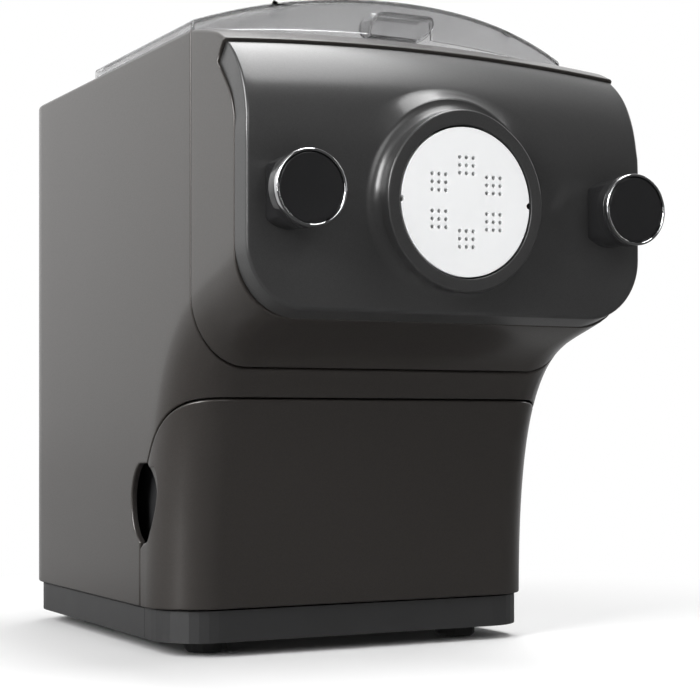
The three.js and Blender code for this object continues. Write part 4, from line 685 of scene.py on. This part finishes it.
def drawer_mesh():
    turns = [drawer_turn(row) for row in range(len(drawer_rows))]
    mesh = bmesh.new()

    def front_place(column, row):
        if column < front_flats:
            return front_point(front_stations[column], drawer_shares[column] * drawer_steps[row])
        return drawer_front_point(turns[row] * (column - front_flats) / front_turns, row)

    def side_place(column, row):
        front_x, front_y, z = drawer_front_point(turns[row], row)
        rear_y = max(drawer_rear(z), front_y)
        return front_x, front_y + (rear_y - front_y) * column / 6, z

    wrapped(mesh, len(front_stations) - 1, len(drawer_rows) - 1, front_place)
    wrapped(mesh, 6, len(drawer_rows) - 1, side_place)
    return rolled(mirrored(mesh), body_wall, seam_edge)


piece("drawer_cover", drawer_mesh(), "drawer", "body_grey", body_lacquer, "drawer_front")

# The front panel: a darker grey moulding with a flat face that curls back at its top, a rim
# all round and a raised boss round the outlet. Two knobs clamp it to the machine.
panel_y = -0.1469
panel_wall = 0.003
panel_half = 0.1066
panel_top_half = 0.1052
panel_rear_half = 0.1072
panel_low_z = 0.1667
panel_flare = 0.0038
panel_corner = 0.0295
panel_bevel = 0.0014
panel_curl = [(-0.1469, 0.237), (-0.1469, 0.2635), (-0.1384, 0.2808), (-0.1177, 0.2915)]
outlet_z = 0.2178
outlet_radius = 0.0355
boss_radius = 0.0417
boss_foot = 0.0478
boss_reach = 0.0111
boss_bevel = 0.0009


def curl_point(share):
    rest = 1 - share
    weights = (rest ** 3, 3 * rest * rest * share, 3 * rest * share * share, share ** 3)
    return tuple(sum(w * p[i] for w, p in zip(weights, panel_curl)) for i in (0, 1))


def curl_y(z):
    """How far the panel's face stands back at one height."""
    low, high = 0.0, 1.0
    for _ in range(26):
        middle = (low + high) / 2
        low, high = (middle, high) if curl_point(middle)[1] < z else (low, middle)
    return curl_point(low)[0] if z > panel_curl[0][1] else panel_y


def panel_top():
    low, high = 0.0, 1.0
    for _ in range(26):
        middle = (low + high) / 2
        low, high = (middle, high) if curl_point(middle)[0] < head_corner_y - seam_gap else (low, middle)
    return curl_point(low)[1]


panel_top_z = panel_top()


def panel_half_at(z):
    share = min(max((z - panel_curl[0][1]) / (panel_top_z - panel_curl[0][1]), 0), 1)
    return panel_half + (panel_top_half - panel_half) * share


def side_depth(z):
    """How deep the panel's side wall is at one height, from its face to the head's edge."""
    return max(head_edge(z) - seam_gap - seam_edge * 0.6 - curl_y(z), 0)


def panel_outline():
    """The rim as (x, z, normal) from the middle of the top, round a lower corner, to the bottom."""
    low_arc = panel_low_z + panel_corner
    flat = panel_half - panel_corner
    points = [(panel_top_half * i / 20, panel_top_z, 0, 1) for i in range(20)]
    points.append((panel_top_half, panel_top_z, 1, 1))
    drops = [(panel_top_z - crown_start_z) * (i / 26) for i in range(1, 27)]
    points += [(panel_half_at(panel_top_z - drop), panel_top_z - drop, 1, 0) for drop in drops]
    points += [(panel_half, crown_start_z + (low_arc - crown_start_z) * i / 10, 1, 0) for i in range(1, 10)]
    for i in range(17):
        angle = math.pi / 2 * i / 16
        points.append((flat + panel_corner * math.cos(angle), low_arc - panel_corner * math.sin(angle),
                       math.cos(angle), -math.sin(angle)))
    return points + [(flat * (1 - i / 18), panel_low_z, 0, -1) for i in range(1, 19)]


face_rows = 12
edge_rows = 5
side_rows = 4
boss_fillet = boss_foot - boss_radius
boss_profile = [(outlet_radius, panel_y), (outlet_radius, panel_y - boss_reach + boss_bevel * 0.5)]
boss_profile += [(outlet_radius + boss_bevel * 0.5, panel_y - boss_reach),
                 (boss_radius - boss_bevel, panel_y - boss_reach)]
boss_profile += [(boss_radius - boss_bevel + boss_bevel * math.sin(math.pi / 8 * i),
                  panel_y - boss_reach + boss_bevel * (1 - math.cos(math.pi / 8 * i))) for i in range(1, 5)]
boss_profile += [(boss_foot - boss_fillet * math.sin(math.pi / 2 * i / 10),
                  panel_y - boss_fillet * 0.85 * (1 - math.cos(math.pi / 2 * i / 10)))
                 for i in range(10, -1, -1)]


def panel_mesh():
    outline = panel_outline()
    face_start = len(boss_profile)
    edge_start = face_start + face_rows
    side_start_row = edge_start + edge_rows

    def place(column, row):
        x, z, normal_x, normal_z = outline[column]
        angle = math.atan2(z - outlet_z, x)
        if row < face_start:
            radius, y = boss_profile[row]
            return radius * math.cos(angle), y, outlet_z + radius * math.sin(angle)
        deep = side_depth(z)
        bevel = min(panel_bevel, deep * 0.3)
        if row < edge_start:
            share = ((row - face_start + 1) / face_rows) ** 0.85
            x = boss_foot * math.cos(angle) * (1 - share) + (x - normal_x * bevel) * share
            z = (outlet_z + boss_foot * math.sin(angle)) * (1 - share) + (z - normal_z * bevel) * share
            return x, curl_y(z), z
        turn = math.pi / 2 * min((row - edge_start + 1) / edge_rows, 1)
        inwards = bevel * (1 - math.sin(turn))
        back = bevel * (1 - math.cos(turn))
        if row >= side_start_row:
            back += (deep - bevel) * (row - side_start_row + 1) / side_rows
        y = curl_y(z - normal_z * inwards) + back
        flare = min(max((y - panel_y) / (head_edge_y - panel_y), 0), 1)
        wider = (panel_rear_half - panel_half) * flare * min(max(normal_x, 0), 1)
        lower = panel_flare * flare * max(-normal_z, 0)
        return x - normal_x * inwards + wider, y, z - normal_z * inwards - lower

    mesh = bmesh.new()
    wrapped(mesh, len(outline) - 1, side_start_row + side_rows - 1, place)
    return rolled(mirrored(mesh), panel_wall * 0.8, seam_edge * 0.6)


panel_lacquer = lacquer("panel_lacquer", (0.040, 0.0398, 0.0400), 0.30, 0.34, 0.5)
piece("panel", panel_mesh(), "panel", "panel_grey", panel_lacquer, "front_panel")

# The shaping disc: a white moulded disc that sits in the outlet, with six fields of nine small
# countersunk holes for the dough and a notch at each side to turn it by.
disc_radius = 0.0347
disc_y = -0.1577
disc_depth = 0.0056
disc_edge = 0.0005
disc_notch = 0.0015
hole_radius = 0.0009
hole_sink = 0.00022
hole_pitch = 0.00365
field_centre = 0.017


def facing_front(mesh, x, y, z):
    """Turns a flat drawing in X and Y to face the viewer, at a place."""
    bmesh.ops.rotate(mesh, verts=mesh.verts, cent=(0, 0, 0), matrix=Matrix.Rotation(math.pi / 2, 3, "X"))
    bmesh.ops.translate(mesh, verts=mesh.verts, vec=(x, y, z))


def pushed(mesh, edges, deep, scale=1, centre=(0, 0)):
    """Runs the edges of a loop back by a depth, drawn in or out round a centre."""
    made = bmesh.ops.extrude_edge_only(mesh, edges=edges)["geom"]
    for vertex in [item for item in made if isinstance(item, bmesh.types.BMVert)]:
        vertex.co.x = centre[0] + (vertex.co.x - centre[0]) * scale
        vertex.co.y = centre[1] + (vertex.co.y - centre[1]) * scale
        vertex.co.z -= deep
    return [item for item in made if isinstance(item, bmesh.types.BMEdge)]


def notched_circle(mesh, radius, notch, segments, notch_segments):
    """A ring of edges with a half-round notch at its right and its left."""
    circle = bmesh.ops.create_circle(mesh, segments=segments, radius=radius)["verts"]
    half = segments // 2
    lip = 2 * math.asin(notch / radius / 2)
    for index, vertex in enumerate(sorted(circle, key=lambda v: math.atan2(v.co.y, v.co.x))):
        side, step = divmod(index, half)
        turn = math.pi * side
        if step <= notch_segments:
            swing = math.pi / 2 + (math.pi - lip) * (0.5 - step / notch_segments) + math.pi / 2
            place = Vector((radius + notch * math.cos(swing), notch * math.sin(swing), 0))
        else:
            share = (step - notch_segments) / (half - notch_segments)
            angle = lip + (math.pi - 2 * lip) * share
            place = Vector((radius * math.cos(angle), radius * math.sin(angle), 0))
        vertex.co = Matrix.Rotation(turn, 3, "Z") @ place
    return [edge for edge in mesh.edges if edge.verts[0] in circle]


def disc_mesh():
    mesh = bmesh.new()
    rim = notched_circle(mesh, disc_radius - disc_edge, disc_notch, 176, 10)
    holes = []
    for field in range(6):
        angle = math.pi / 2 + math.pi / 3 * field
        for index in range(9):
            x = field_centre * math.cos(angle) + (index % 3 - 1) * hole_pitch
            y = field_centre * math.sin(angle) + (index // 3 - 1) * hole_pitch
            circle = bmesh.ops.create_circle(mesh, segments=16, radius=hole_radius + hole_sink,
                                             matrix=Matrix.Translation((x, y, 0)))["verts"]
            holes.append(((x, y), once(edge for vertex in circle for edge in vertex.link_edges)))
    bmesh.ops.triangle_fill(mesh, use_beauty=True, use_dissolve=False, edges=mesh.edges)
    for centre, edges in holes:
        edges = pushed(mesh, edges, hole_sink, hole_radius / (hole_radius + hole_sink), centre)
        pushed(mesh, edges, disc_depth - hole_sink, 1, centre)
    for step in range(1, 5):
        turn = math.pi / 8 * step
        radius = disc_radius - disc_edge * (1 - math.sin(turn))
        deep = disc_edge * (math.cos(turn - math.pi / 8) - math.cos(turn))
        previous = disc_radius - disc_edge * (1 - math.sin(turn - math.pi / 8))
        rim = pushed(mesh, rim, deep, radius / previous)
    pushed(mesh, rim, disc_depth - disc_edge)
    facing_front(mesh, 0, disc_y, outlet_z)
    bmesh.ops.recalc_face_normals(mesh, faces=mesh.faces)
    return mesh


def moulded(name, colour, roughness, grain_scale=1400, grain=0.06, spread=0.06, coat=0.0):
    """Moulded plastic: a fine grain, a little colour spread and uneven gloss."""
    material = bpy.data.materials.new(name)
    material.use_nodes = True
    nodes = material.node_tree.nodes
    links = material.node_tree.links
    plastic = nodes["Principled BSDF"]
    plastic.inputs["Coat Weight"].default_value = coat
    plastic.inputs["Coat Roughness"].default_value = 0.05
    place = nodes.new("ShaderNodeTexCoord")
    cloud = nodes.new("ShaderNodeTexNoise")
    cloud.inputs["Scale"].default_value = 60
    cloud.inputs["Detail"].default_value = 4
    links.new(place.outputs["Object"], cloud.inputs["Vector"])
    tone = nodes.new("ShaderNodeValToRGB")
    tone.color_ramp.elements[0].color = [c * (1 - spread) for c in colour] + [1]
    tone.color_ramp.elements[1].color = [min(c * (1 + spread), 1) for c in colour] + [1]
    links.new(cloud.outputs["Fac"], tone.inputs["Fac"])
    links.new(tone.outputs["Color"], plastic.inputs["Base Color"])
    gloss = nodes.new("ShaderNodeMapRange")
    gloss.inputs["To Min"].default_value = roughness * 0.88
    gloss.inputs["To Max"].default_value = roughness * 1.12
    links.new(cloud.outputs["Fac"], gloss.inputs["Value"])
    links.new(gloss.outputs[0], plastic.inputs["Roughness"])
    grains = nodes.new("ShaderNodeTexNoise")
    grains.inputs["Scale"].default_value = grain_scale
    grains.inputs["Detail"].default_value = 2
    links.new(place.outputs["Object"], grains.inputs["Vector"])
    bump = nodes.new("ShaderNodeBump")
    bump.inputs["Strength"].default_value = grain
    bump.inputs["Distance"].default_value = 0.0002
    links.new(grains.outputs["Fac"], bump.inputs["Height"])
    links.new(bump.outputs["Normal"], plastic.inputs["Normal"])
    return material


disc_white = moulded("disc_white", (0.72, 0.725, 0.73), 0.42, 2600, 0.10, 0.015)
piece("disc", disc_mesh(), "root", "disc_white", disc_white, "shaping_disc")

# The two clamping knobs: a gloss black grip with a flat pinched into each side of its neck, a
# chromed ring let into its front edge, a dished black cap, and the steel stud that it turns.
knob_x = 0.0866
knob_face_y = -0.1715
knob_radius = 0.0171
knob_neck = 0.0164
knob_flat = 0.0111
knob_flange_y = -0.163
knob_foot_y = -0.14725
ring_depth = 0.0028
ring_width = 0.0013
ring_round = 0.0006
knob_groove = 0.00045
stud_radius = 0.0045
stud_front_y = -0.15625
stud_back_y = -0.113
collar_radius = 0.008
collar_y = -0.1436
collar_depth = 0.002
thread_y = -0.131
thread_length = 0.0165
thread_ridges = 16
thread_land = 0.0002
thread_depth = 0.0005


def turned(profile, x, z, steps=72):
    """Spins a profile of (radius, y) points round an axis that runs from front to back."""
    mesh = bmesh.new()
    points = [mesh.verts.new((radius, y, 0)) for radius, y in profile]
    edges = [mesh.edges.new(pair) for pair in zip(points, points[1:])]
    bmesh.ops.spin(mesh, geom=[*points, *edges], cent=(0, 0, 0), axis=(0, 1, 0), angle=2 * math.pi,
                   steps=steps, use_merge=True)
    bmesh.ops.remove_doubles(mesh, verts=mesh.verts, dist=1e-6)
    bmesh.ops.recalc_face_normals(mesh, faces=mesh.faces)
    bmesh.ops.translate(mesh, verts=mesh.verts, vec=(x, 0, z))
    return mesh


def rounded(radius, y, edge, turn_from, turn_to, steps=4):
    """Points of a rounded edge; turns count from the front, a quarter being straight outwards."""
    turns = [math.pi / 2 * (turn_from + (turn_to - turn_from) * i / steps) for i in range(steps + 1)]
    return [(radius + edge * math.sin(t), y - edge * math.cos(t)) for t in turns]


def knob_ring_mesh(x):
    inner = knob_radius - ring_width
    back_y = knob_face_y + ring_depth
    profile = rounded(inner + ring_round, knob_face_y + ring_round, ring_round, -1, 0)
    profile += rounded(knob_radius - ring_round, knob_face_y + ring_round, ring_round, 0, 1)
    profile += [(knob_radius, back_y - 0.0002), (knob_radius - 0.0002, back_y), (inner, back_y)]
    return turned([*profile, profile[0]], x, outlet_z, 96)


def knob_cap_mesh(x):
    edge = knob_radius - ring_width - knob_groove
    face_y = knob_face_y + 0.0004
    dish = [(edge * 0.94 * i / 8, face_y + 0.00035 * (1 - (i / 8) ** 2)) for i in range(9)]
    rim = rounded(edge - 0.0004, face_y + 0.0004, 0.0004, 0, 1)
    return turned([*dish, *rim, (edge, face_y + 0.0026)], x, outlet_z, 96)


def knob_grip_mesh(x):
    """The flange is a plain turned ring; the neck behind it is cut to its two flats."""
    start_y = knob_face_y + ring_depth + knob_groove
    inner = knob_radius - ring_width
    flange = [(0, start_y - 0.0008), (inner, start_y - 0.0008), (inner, start_y)]
    flange += rounded(knob_radius - 0.0003, start_y + 0.0003, 0.0003, 0, 1)
    flange += rounded(knob_radius - 0.0012, knob_flange_y - 0.0003, 0.0012, 1, 2)
    mesh = turned([*flange, (0, knob_flange_y + 0.0009)], x, outlet_z, 96)
    edge = 0.0012
    neck = [(0, knob_flange_y + 0.0002), (knob_neck, knob_flange_y + 0.0002)]
    neck += [(knob_neck, knob_foot_y - edge), (knob_neck - 0.0003, knob_foot_y), (0, knob_foot_y)]
    stem = turned(neck, x, outlet_z, 96)
    for side in (-1, 1):
        cut = bmesh.ops.bisect_plane(stem, geom=[*stem.verts, *stem.edges, *stem.faces], dist=1e-6,
                                     plane_co=(x + side * knob_flat, 0, 0), plane_no=(side, 0, 0),
                                     clear_outer=True)
        rim = [item for item in cut["geom_cut"] if isinstance(item, bmesh.types.BMEdge)]
        bmesh.ops.triangle_fill(stem, use_beauty=True, use_dissolve=False, edges=rim)
    bmesh.ops.dissolve_limit(stem, angle_limit=math.radians(0.5), verts=stem.verts, edges=stem.edges)
    corners = [e for e in stem.edges if len(e.link_faces) == 2 and e.calc_face_angle() > math.radians(25)]
    bmesh.ops.bevel(stem, geom=corners, offset=0.0005, segments=3, profile=0.5, affect="EDGES",
                    material=-1, clamp_overlap=True)
    holder = bpy.data.meshes.new("neck")
    stem.to_mesh(holder)
    stem.free()
    mesh.from_mesh(holder)
    bpy.data.meshes.remove(holder)
    return mesh


def knob_stud_mesh(x):
    """The stud with its collar, and a thread of shallow rolled ridges on its far end."""
    collar = [(stud_radius, collar_y), (collar_radius, collar_y)]
    collar += [(collar_radius, collar_y + collar_depth), (stud_radius, collar_y + collar_depth)]
    profile = [(0, stud_front_y), (stud_radius, stud_front_y), *collar, (stud_radius, thread_y)]
    for i in range(thread_ridges):
        y = thread_y + thread_length * i / thread_ridges
        profile += [(stud_radius, y + thread_land), (stud_radius - thread_depth, y + thread_depth)]
    profile += [(stud_radius, thread_y + thread_length), (stud_radius / 2, stud_back_y), (0, stud_back_y)]
    return turned(profile, x, outlet_z, 48)


def plated(name, colour, roughness, brushed=0.0):
    """Bare or plated metal with faint uneven gloss."""
    material = bpy.data.materials.new(name)
    material.use_nodes = True
    nodes = material.node_tree.nodes
    links = material.node_tree.links
    metal = nodes["Principled BSDF"]
    metal.inputs["Metallic"].default_value = 1
    place = nodes.new("ShaderNodeTexCoord")
    smears = nodes.new("ShaderNodeTexNoise")
    smears.inputs["Scale"].default_value = 220
    smears.inputs["Detail"].default_value = 5
    links.new(place.outputs["Object"], smears.inputs["Vector"])
    tone = nodes.new("ShaderNodeValToRGB")
    tone.color_ramp.elements[0].color = [c * 0.93 for c in colour] + [1]
    tone.color_ramp.elements[1].color = [min(c * 1.05, 1) for c in colour] + [1]
    links.new(smears.outputs["Fac"], tone.inputs["Fac"])
    links.new(tone.outputs["Color"], metal.inputs["Base Color"])
    gloss = nodes.new("ShaderNodeMapRange")
    gloss.inputs["To Min"].default_value = roughness * 0.8
    gloss.inputs["To Max"].default_value = roughness * 1.25 + brushed
    links.new(smears.outputs["Fac"], gloss.inputs["Value"])
    links.new(gloss.outputs[0], metal.inputs["Roughness"])
    return material


knob_black = moulded("knob_black", (0.012, 0.012, 0.0125), 0.17, 1800, 0.015, 0.08, 0.4)
chrome = plated("chrome", (0.80, 0.80, 0.81), 0.07)
steel = plated("steel", (0.56, 0.56, 0.57), 0.30, 0.08)
for side, sign in (("left", -1), ("right", 1)):
    x = sign * knob_x
    piece(f"{side}_knob_body", knob_grip_mesh(x), f"{side}_knob", "knob_black", knob_black,
          f"{side}_knob_grip")
    piece(f"{side}_knob_trim", knob_ring_mesh(x), f"{side}_knob", "chrome", chrome, f"{side}_knob_ring")
    piece(f"{side}_knob_face", knob_cap_mesh(x), f"{side}_knob", "knob_black", knob_black,
          f"{side}_knob_cap")
    piece(f"{side}_knob_bolt", knob_stud_mesh(x), f"{side}_knob", "steel", steel, f"{side}_knob_stud")

# The lid: a smoked clear dome, 2.2 mm thick, whose front bows forward over the deck, with a
# deep hood let into its front as the grip. It hinges at the back.
lid_half = 0.105
lid_front_y = -0.0982
lid_end_y = -0.081
lid_back_y = 0.054
lid_side_z = 0.3063
lid_peak_z = 0.3225
lid_peak_fall = 0.0095
lid_crown_power = 2.2
lid_gap = 0.0004
lid_wall = 0.0022
lid_edge = 0.0016
lid_cut_margin = 0.002
hood_half = 0.0175
hood_low_z = 0.3056
hood_high_z = 0.316
hood_front_y = -0.1022
hood_back_y = -0.0842
hood_corner = 0.005
hood_rake = 1.25
hood_wall = 0.0016
knuckle_x = 0.060
knuckle_y = 0.0585
knuckle_z = 0.3082
knuckle_radius = 0.0033
knuckle_bore = 0.0018
knuckle_half = 0.008


def lid_front(x):
    bow = lid_end_y - lid_front_y
    radius = (lid_half ** 2 + bow ** 2) / (2 * bow)
    return lid_front_y + radius - math.sqrt(radius ** 2 - x * x)


def lid_top(x, y):
    along = (y - lid_front_y) / (lid_back_y - lid_front_y)
    peak = lid_peak_z - lid_peak_fall * along * along
    return lid_side_z + (peak - lid_side_z) * (1 - (x / lid_half) ** lid_crown_power)


def lid_mesh():
    mesh = bmesh.new()
    across, deep = 24, 12
    skirt_shares = (0, 0.5, 0.75, 1)
    xs = [lid_half * i / across for i in range(across + 1)]
    rim = [(x, lid_front(x)) for x in xs]
    rim += [(lid_half, lid_end_y + (lid_back_y - lid_end_y) * i / deep) for i in range(1, deep + 1)]
    rim += [(x, lid_back_y) for x in xs[-2::-1]]

    def top_place(column, row):
        x = xs[column]
        y = lid_front(x) + (lid_back_y - lid_front(x)) * row / deep
        return x, y, lid_top(x, y) - crown_lift(x, deck_z)

    def skirt_place(column, row):
        x, y = rim[column]
        top = lid_top(x, y) - crown_lift(x, deck_z)
        return x, y, top + (deck_z + lid_gap + lid_edge / 2 - top) * skirt_shares[row]

    wrapped(mesh, across, deep, top_place)
    wrapped(mesh, len(rim) - 1, len(skirt_shares) - 1, skirt_place)
    mirrored(mesh)
    for place, normal in (((0, 0, hood_low_z), (0, 0, 1)), ((0, 0, hood_high_z), (0, 0, 1)),
                          ((hood_half, 0, 0), (1, 0, 0)), ((-hood_half, 0, 0), (1, 0, 0))):
        near = once(item for face in mesh.faces if face.calc_center_median().y < lid_end_y - lid_cut_margin
                    for item in (face, *face.verts, *face.edges))
        bmesh.ops.bisect_plane(mesh, geom=near, dist=1e-6, plane_co=place, plane_no=normal)
    window = [face for face in mesh.faces
              if abs(face.calc_center_median().x) < hood_half
              and hood_low_z < face.calc_center_median().z < hood_high_z
              and face.calc_center_median().y < lid_end_y and abs(face.normal.z) < 0.5]
    bmesh.ops.delete(mesh, geom=window, context="FACES")
    return rolled(eased(mesh, lid_edge, 40), lid_wall, lid_edge / 2)


def knuckle_mesh(x):
    """A bored barrel on a web that springs from the lid's back wall."""
    edge = knuckle_radius / 8
    profile = [(knuckle_bore, -knuckle_half), (knuckle_radius - edge, -knuckle_half),
               (knuckle_radius, edge - knuckle_half), (knuckle_radius, knuckle_half - edge),
               (knuckle_radius - edge, knuckle_half), (knuckle_bore, knuckle_half)]
    mesh = turned([*profile, profile[0]], 0, 0, 32)
    bmesh.ops.rotate(mesh, verts=mesh.verts, cent=(0, 0, 0), matrix=Matrix.Rotation(math.pi / 2, 3, "Z"))
    web_y = lid_back_y - knuckle_y - lid_wall / 2
    web = bmesh.ops.create_cube(mesh, size=1)["verts"]
    bmesh.ops.scale(mesh, verts=web, vec=(2 * knuckle_half - edge, -web_y - knuckle_bore, knuckle_radius))
    bmesh.ops.translate(mesh, verts=web, vec=(0, (web_y - knuckle_bore) / 2, 0))
    edges = once(edge for vertex in web for edge in vertex.link_edges)
    bmesh.ops.bevel(mesh, geom=edges, offset=edge, segments=3, profile=0.5, affect="EDGES", material=-1)
    bmesh.ops.translate(mesh, verts=mesh.verts, vec=(x, knuckle_y, knuckle_z))
    return mesh


def hood_mesh():
    """A cup with rounded corners whose sides rake back, so that its floor is a short ledge."""
    flat = hood_half - hood_corner
    turns = [math.pi / 2 * i / 6 for i in range(7)]
    low = [(flat * i / 4, hood_low_z) for i in range(4)]
    low += [(flat + hood_corner * math.sin(t), hood_low_z + hood_corner * (1 - math.cos(t))) for t in turns]
    high = [(flat + hood_corner * math.cos(t), hood_high_z - hood_corner * (1 - math.sin(t))) for t in turns]
    outline = [*low, *high, *[(flat * (1 - i / 4), hood_high_z) for i in range(1, 5)]]
    rows = 6

    def place(column, row):
        x, z = outline[column]
        front = hood_front_y + (hood_high_z - z) * hood_rake
        return x, front + (hood_back_y - front) * row / rows, z - crown_lift(x, z)

    mesh = bmesh.new()
    wrapped(mesh, len(outline) - 1, rows, place)
    mirrored(mesh)
    rear = [edge for edge in mesh.edges if edge.is_boundary
            and all(abs(vertex.co.y - hood_back_y) < 1e-6 for vertex in edge.verts)]
    bmesh.ops.triangle_fill(mesh, use_beauty=True, use_dissolve=False, edges=rear)
    bmesh.ops.recalc_face_normals(mesh, faces=mesh.faces)
    return rolled(mesh, hood_wall, hood_wall / 3)


def smoked(name, colour, roughness):
    """Clear plastic with a grey tint, slightly uneven in its gloss."""
    material = moulded(name, colour, roughness, 40, 0.002, 0.03)
    plastic = material.node_tree.nodes["Principled BSDF"]
    plastic.inputs["Transmission Weight"].default_value = 0.92
    plastic.inputs["IOR"].default_value = 1.3
    return material


smoky_clear = smoked("smoky_clear", (0.74, 0.74, 0.745), 0.08)
piece("lid", lid_mesh(), "lid", "smoky_clear", smoky_clear, "lid_dome")
for side, sign in (("left", -1), ("right", 1)):
    piece(f"{side}_lid_knuckle", knuckle_mesh(sign * knuckle_x), "lid", "smoky_clear", smoky_clear)
piece("lid_hood", hood_mesh(), "lid", "smoky_clear", smoky_clear, "lid_grip")

# All other pieces keep their form from the CAD model: satin black mouldings, rubber feet and
# seal, green circuit boards, brass bushes and bearings, steel shafts and plates, nylon gears,
# and cast alloy for the load cells and the motor.
base_black = moulded("base_black", (0.026, 0.026, 0.0265), 0.45, 1500, 0.10)
inner_black = moulded("inner_black", (0.018, 0.018, 0.019), 0.55, 1200, 0.12)
rubber = moulded("rubber", (0.022, 0.022, 0.022), 0.8, 2200, 0.2)
gear_nylon = moulded("gear_nylon", (0.68, 0.66, 0.60), 0.45, 1600, 0.05)
board_green = moulded("board_green", (0.015, 0.11, 0.045), 0.4, 900, 0.05, 0.12, 0.3)
display_black = moulded("display_black", (0.006, 0.006, 0.007), 0.08, 1500, 0.01, 0.05, 0.6)
brass = plated("brass", (0.72, 0.52, 0.24), 0.24, 0.05)
cast_alloy = plated("cast_alloy", (0.40, 0.40, 0.41), 0.42, 0.12)
finishes = {
    "body_grey": body_lacquer, "panel_grey": panel_lacquer, "base_black": base_black,
    "inner_black": inner_black, "knob_black": knob_black, "chrome": chrome, "disc_white": disc_white,
    "steel": steel, "brass": brass, "gear_nylon": gear_nylon, "rubber": rubber,
    "board_green": board_green, "display_black": display_black, "cast_alloy": cast_alloy,
}
for part in frame["record"]["subparts"]:
    node = frame["nodes"].get(part["node"])
    if node and part["material_slot"] in finishes:
        node.data.materials.clear()
        node.data.materials.append(finishes[part["material_slot"]])
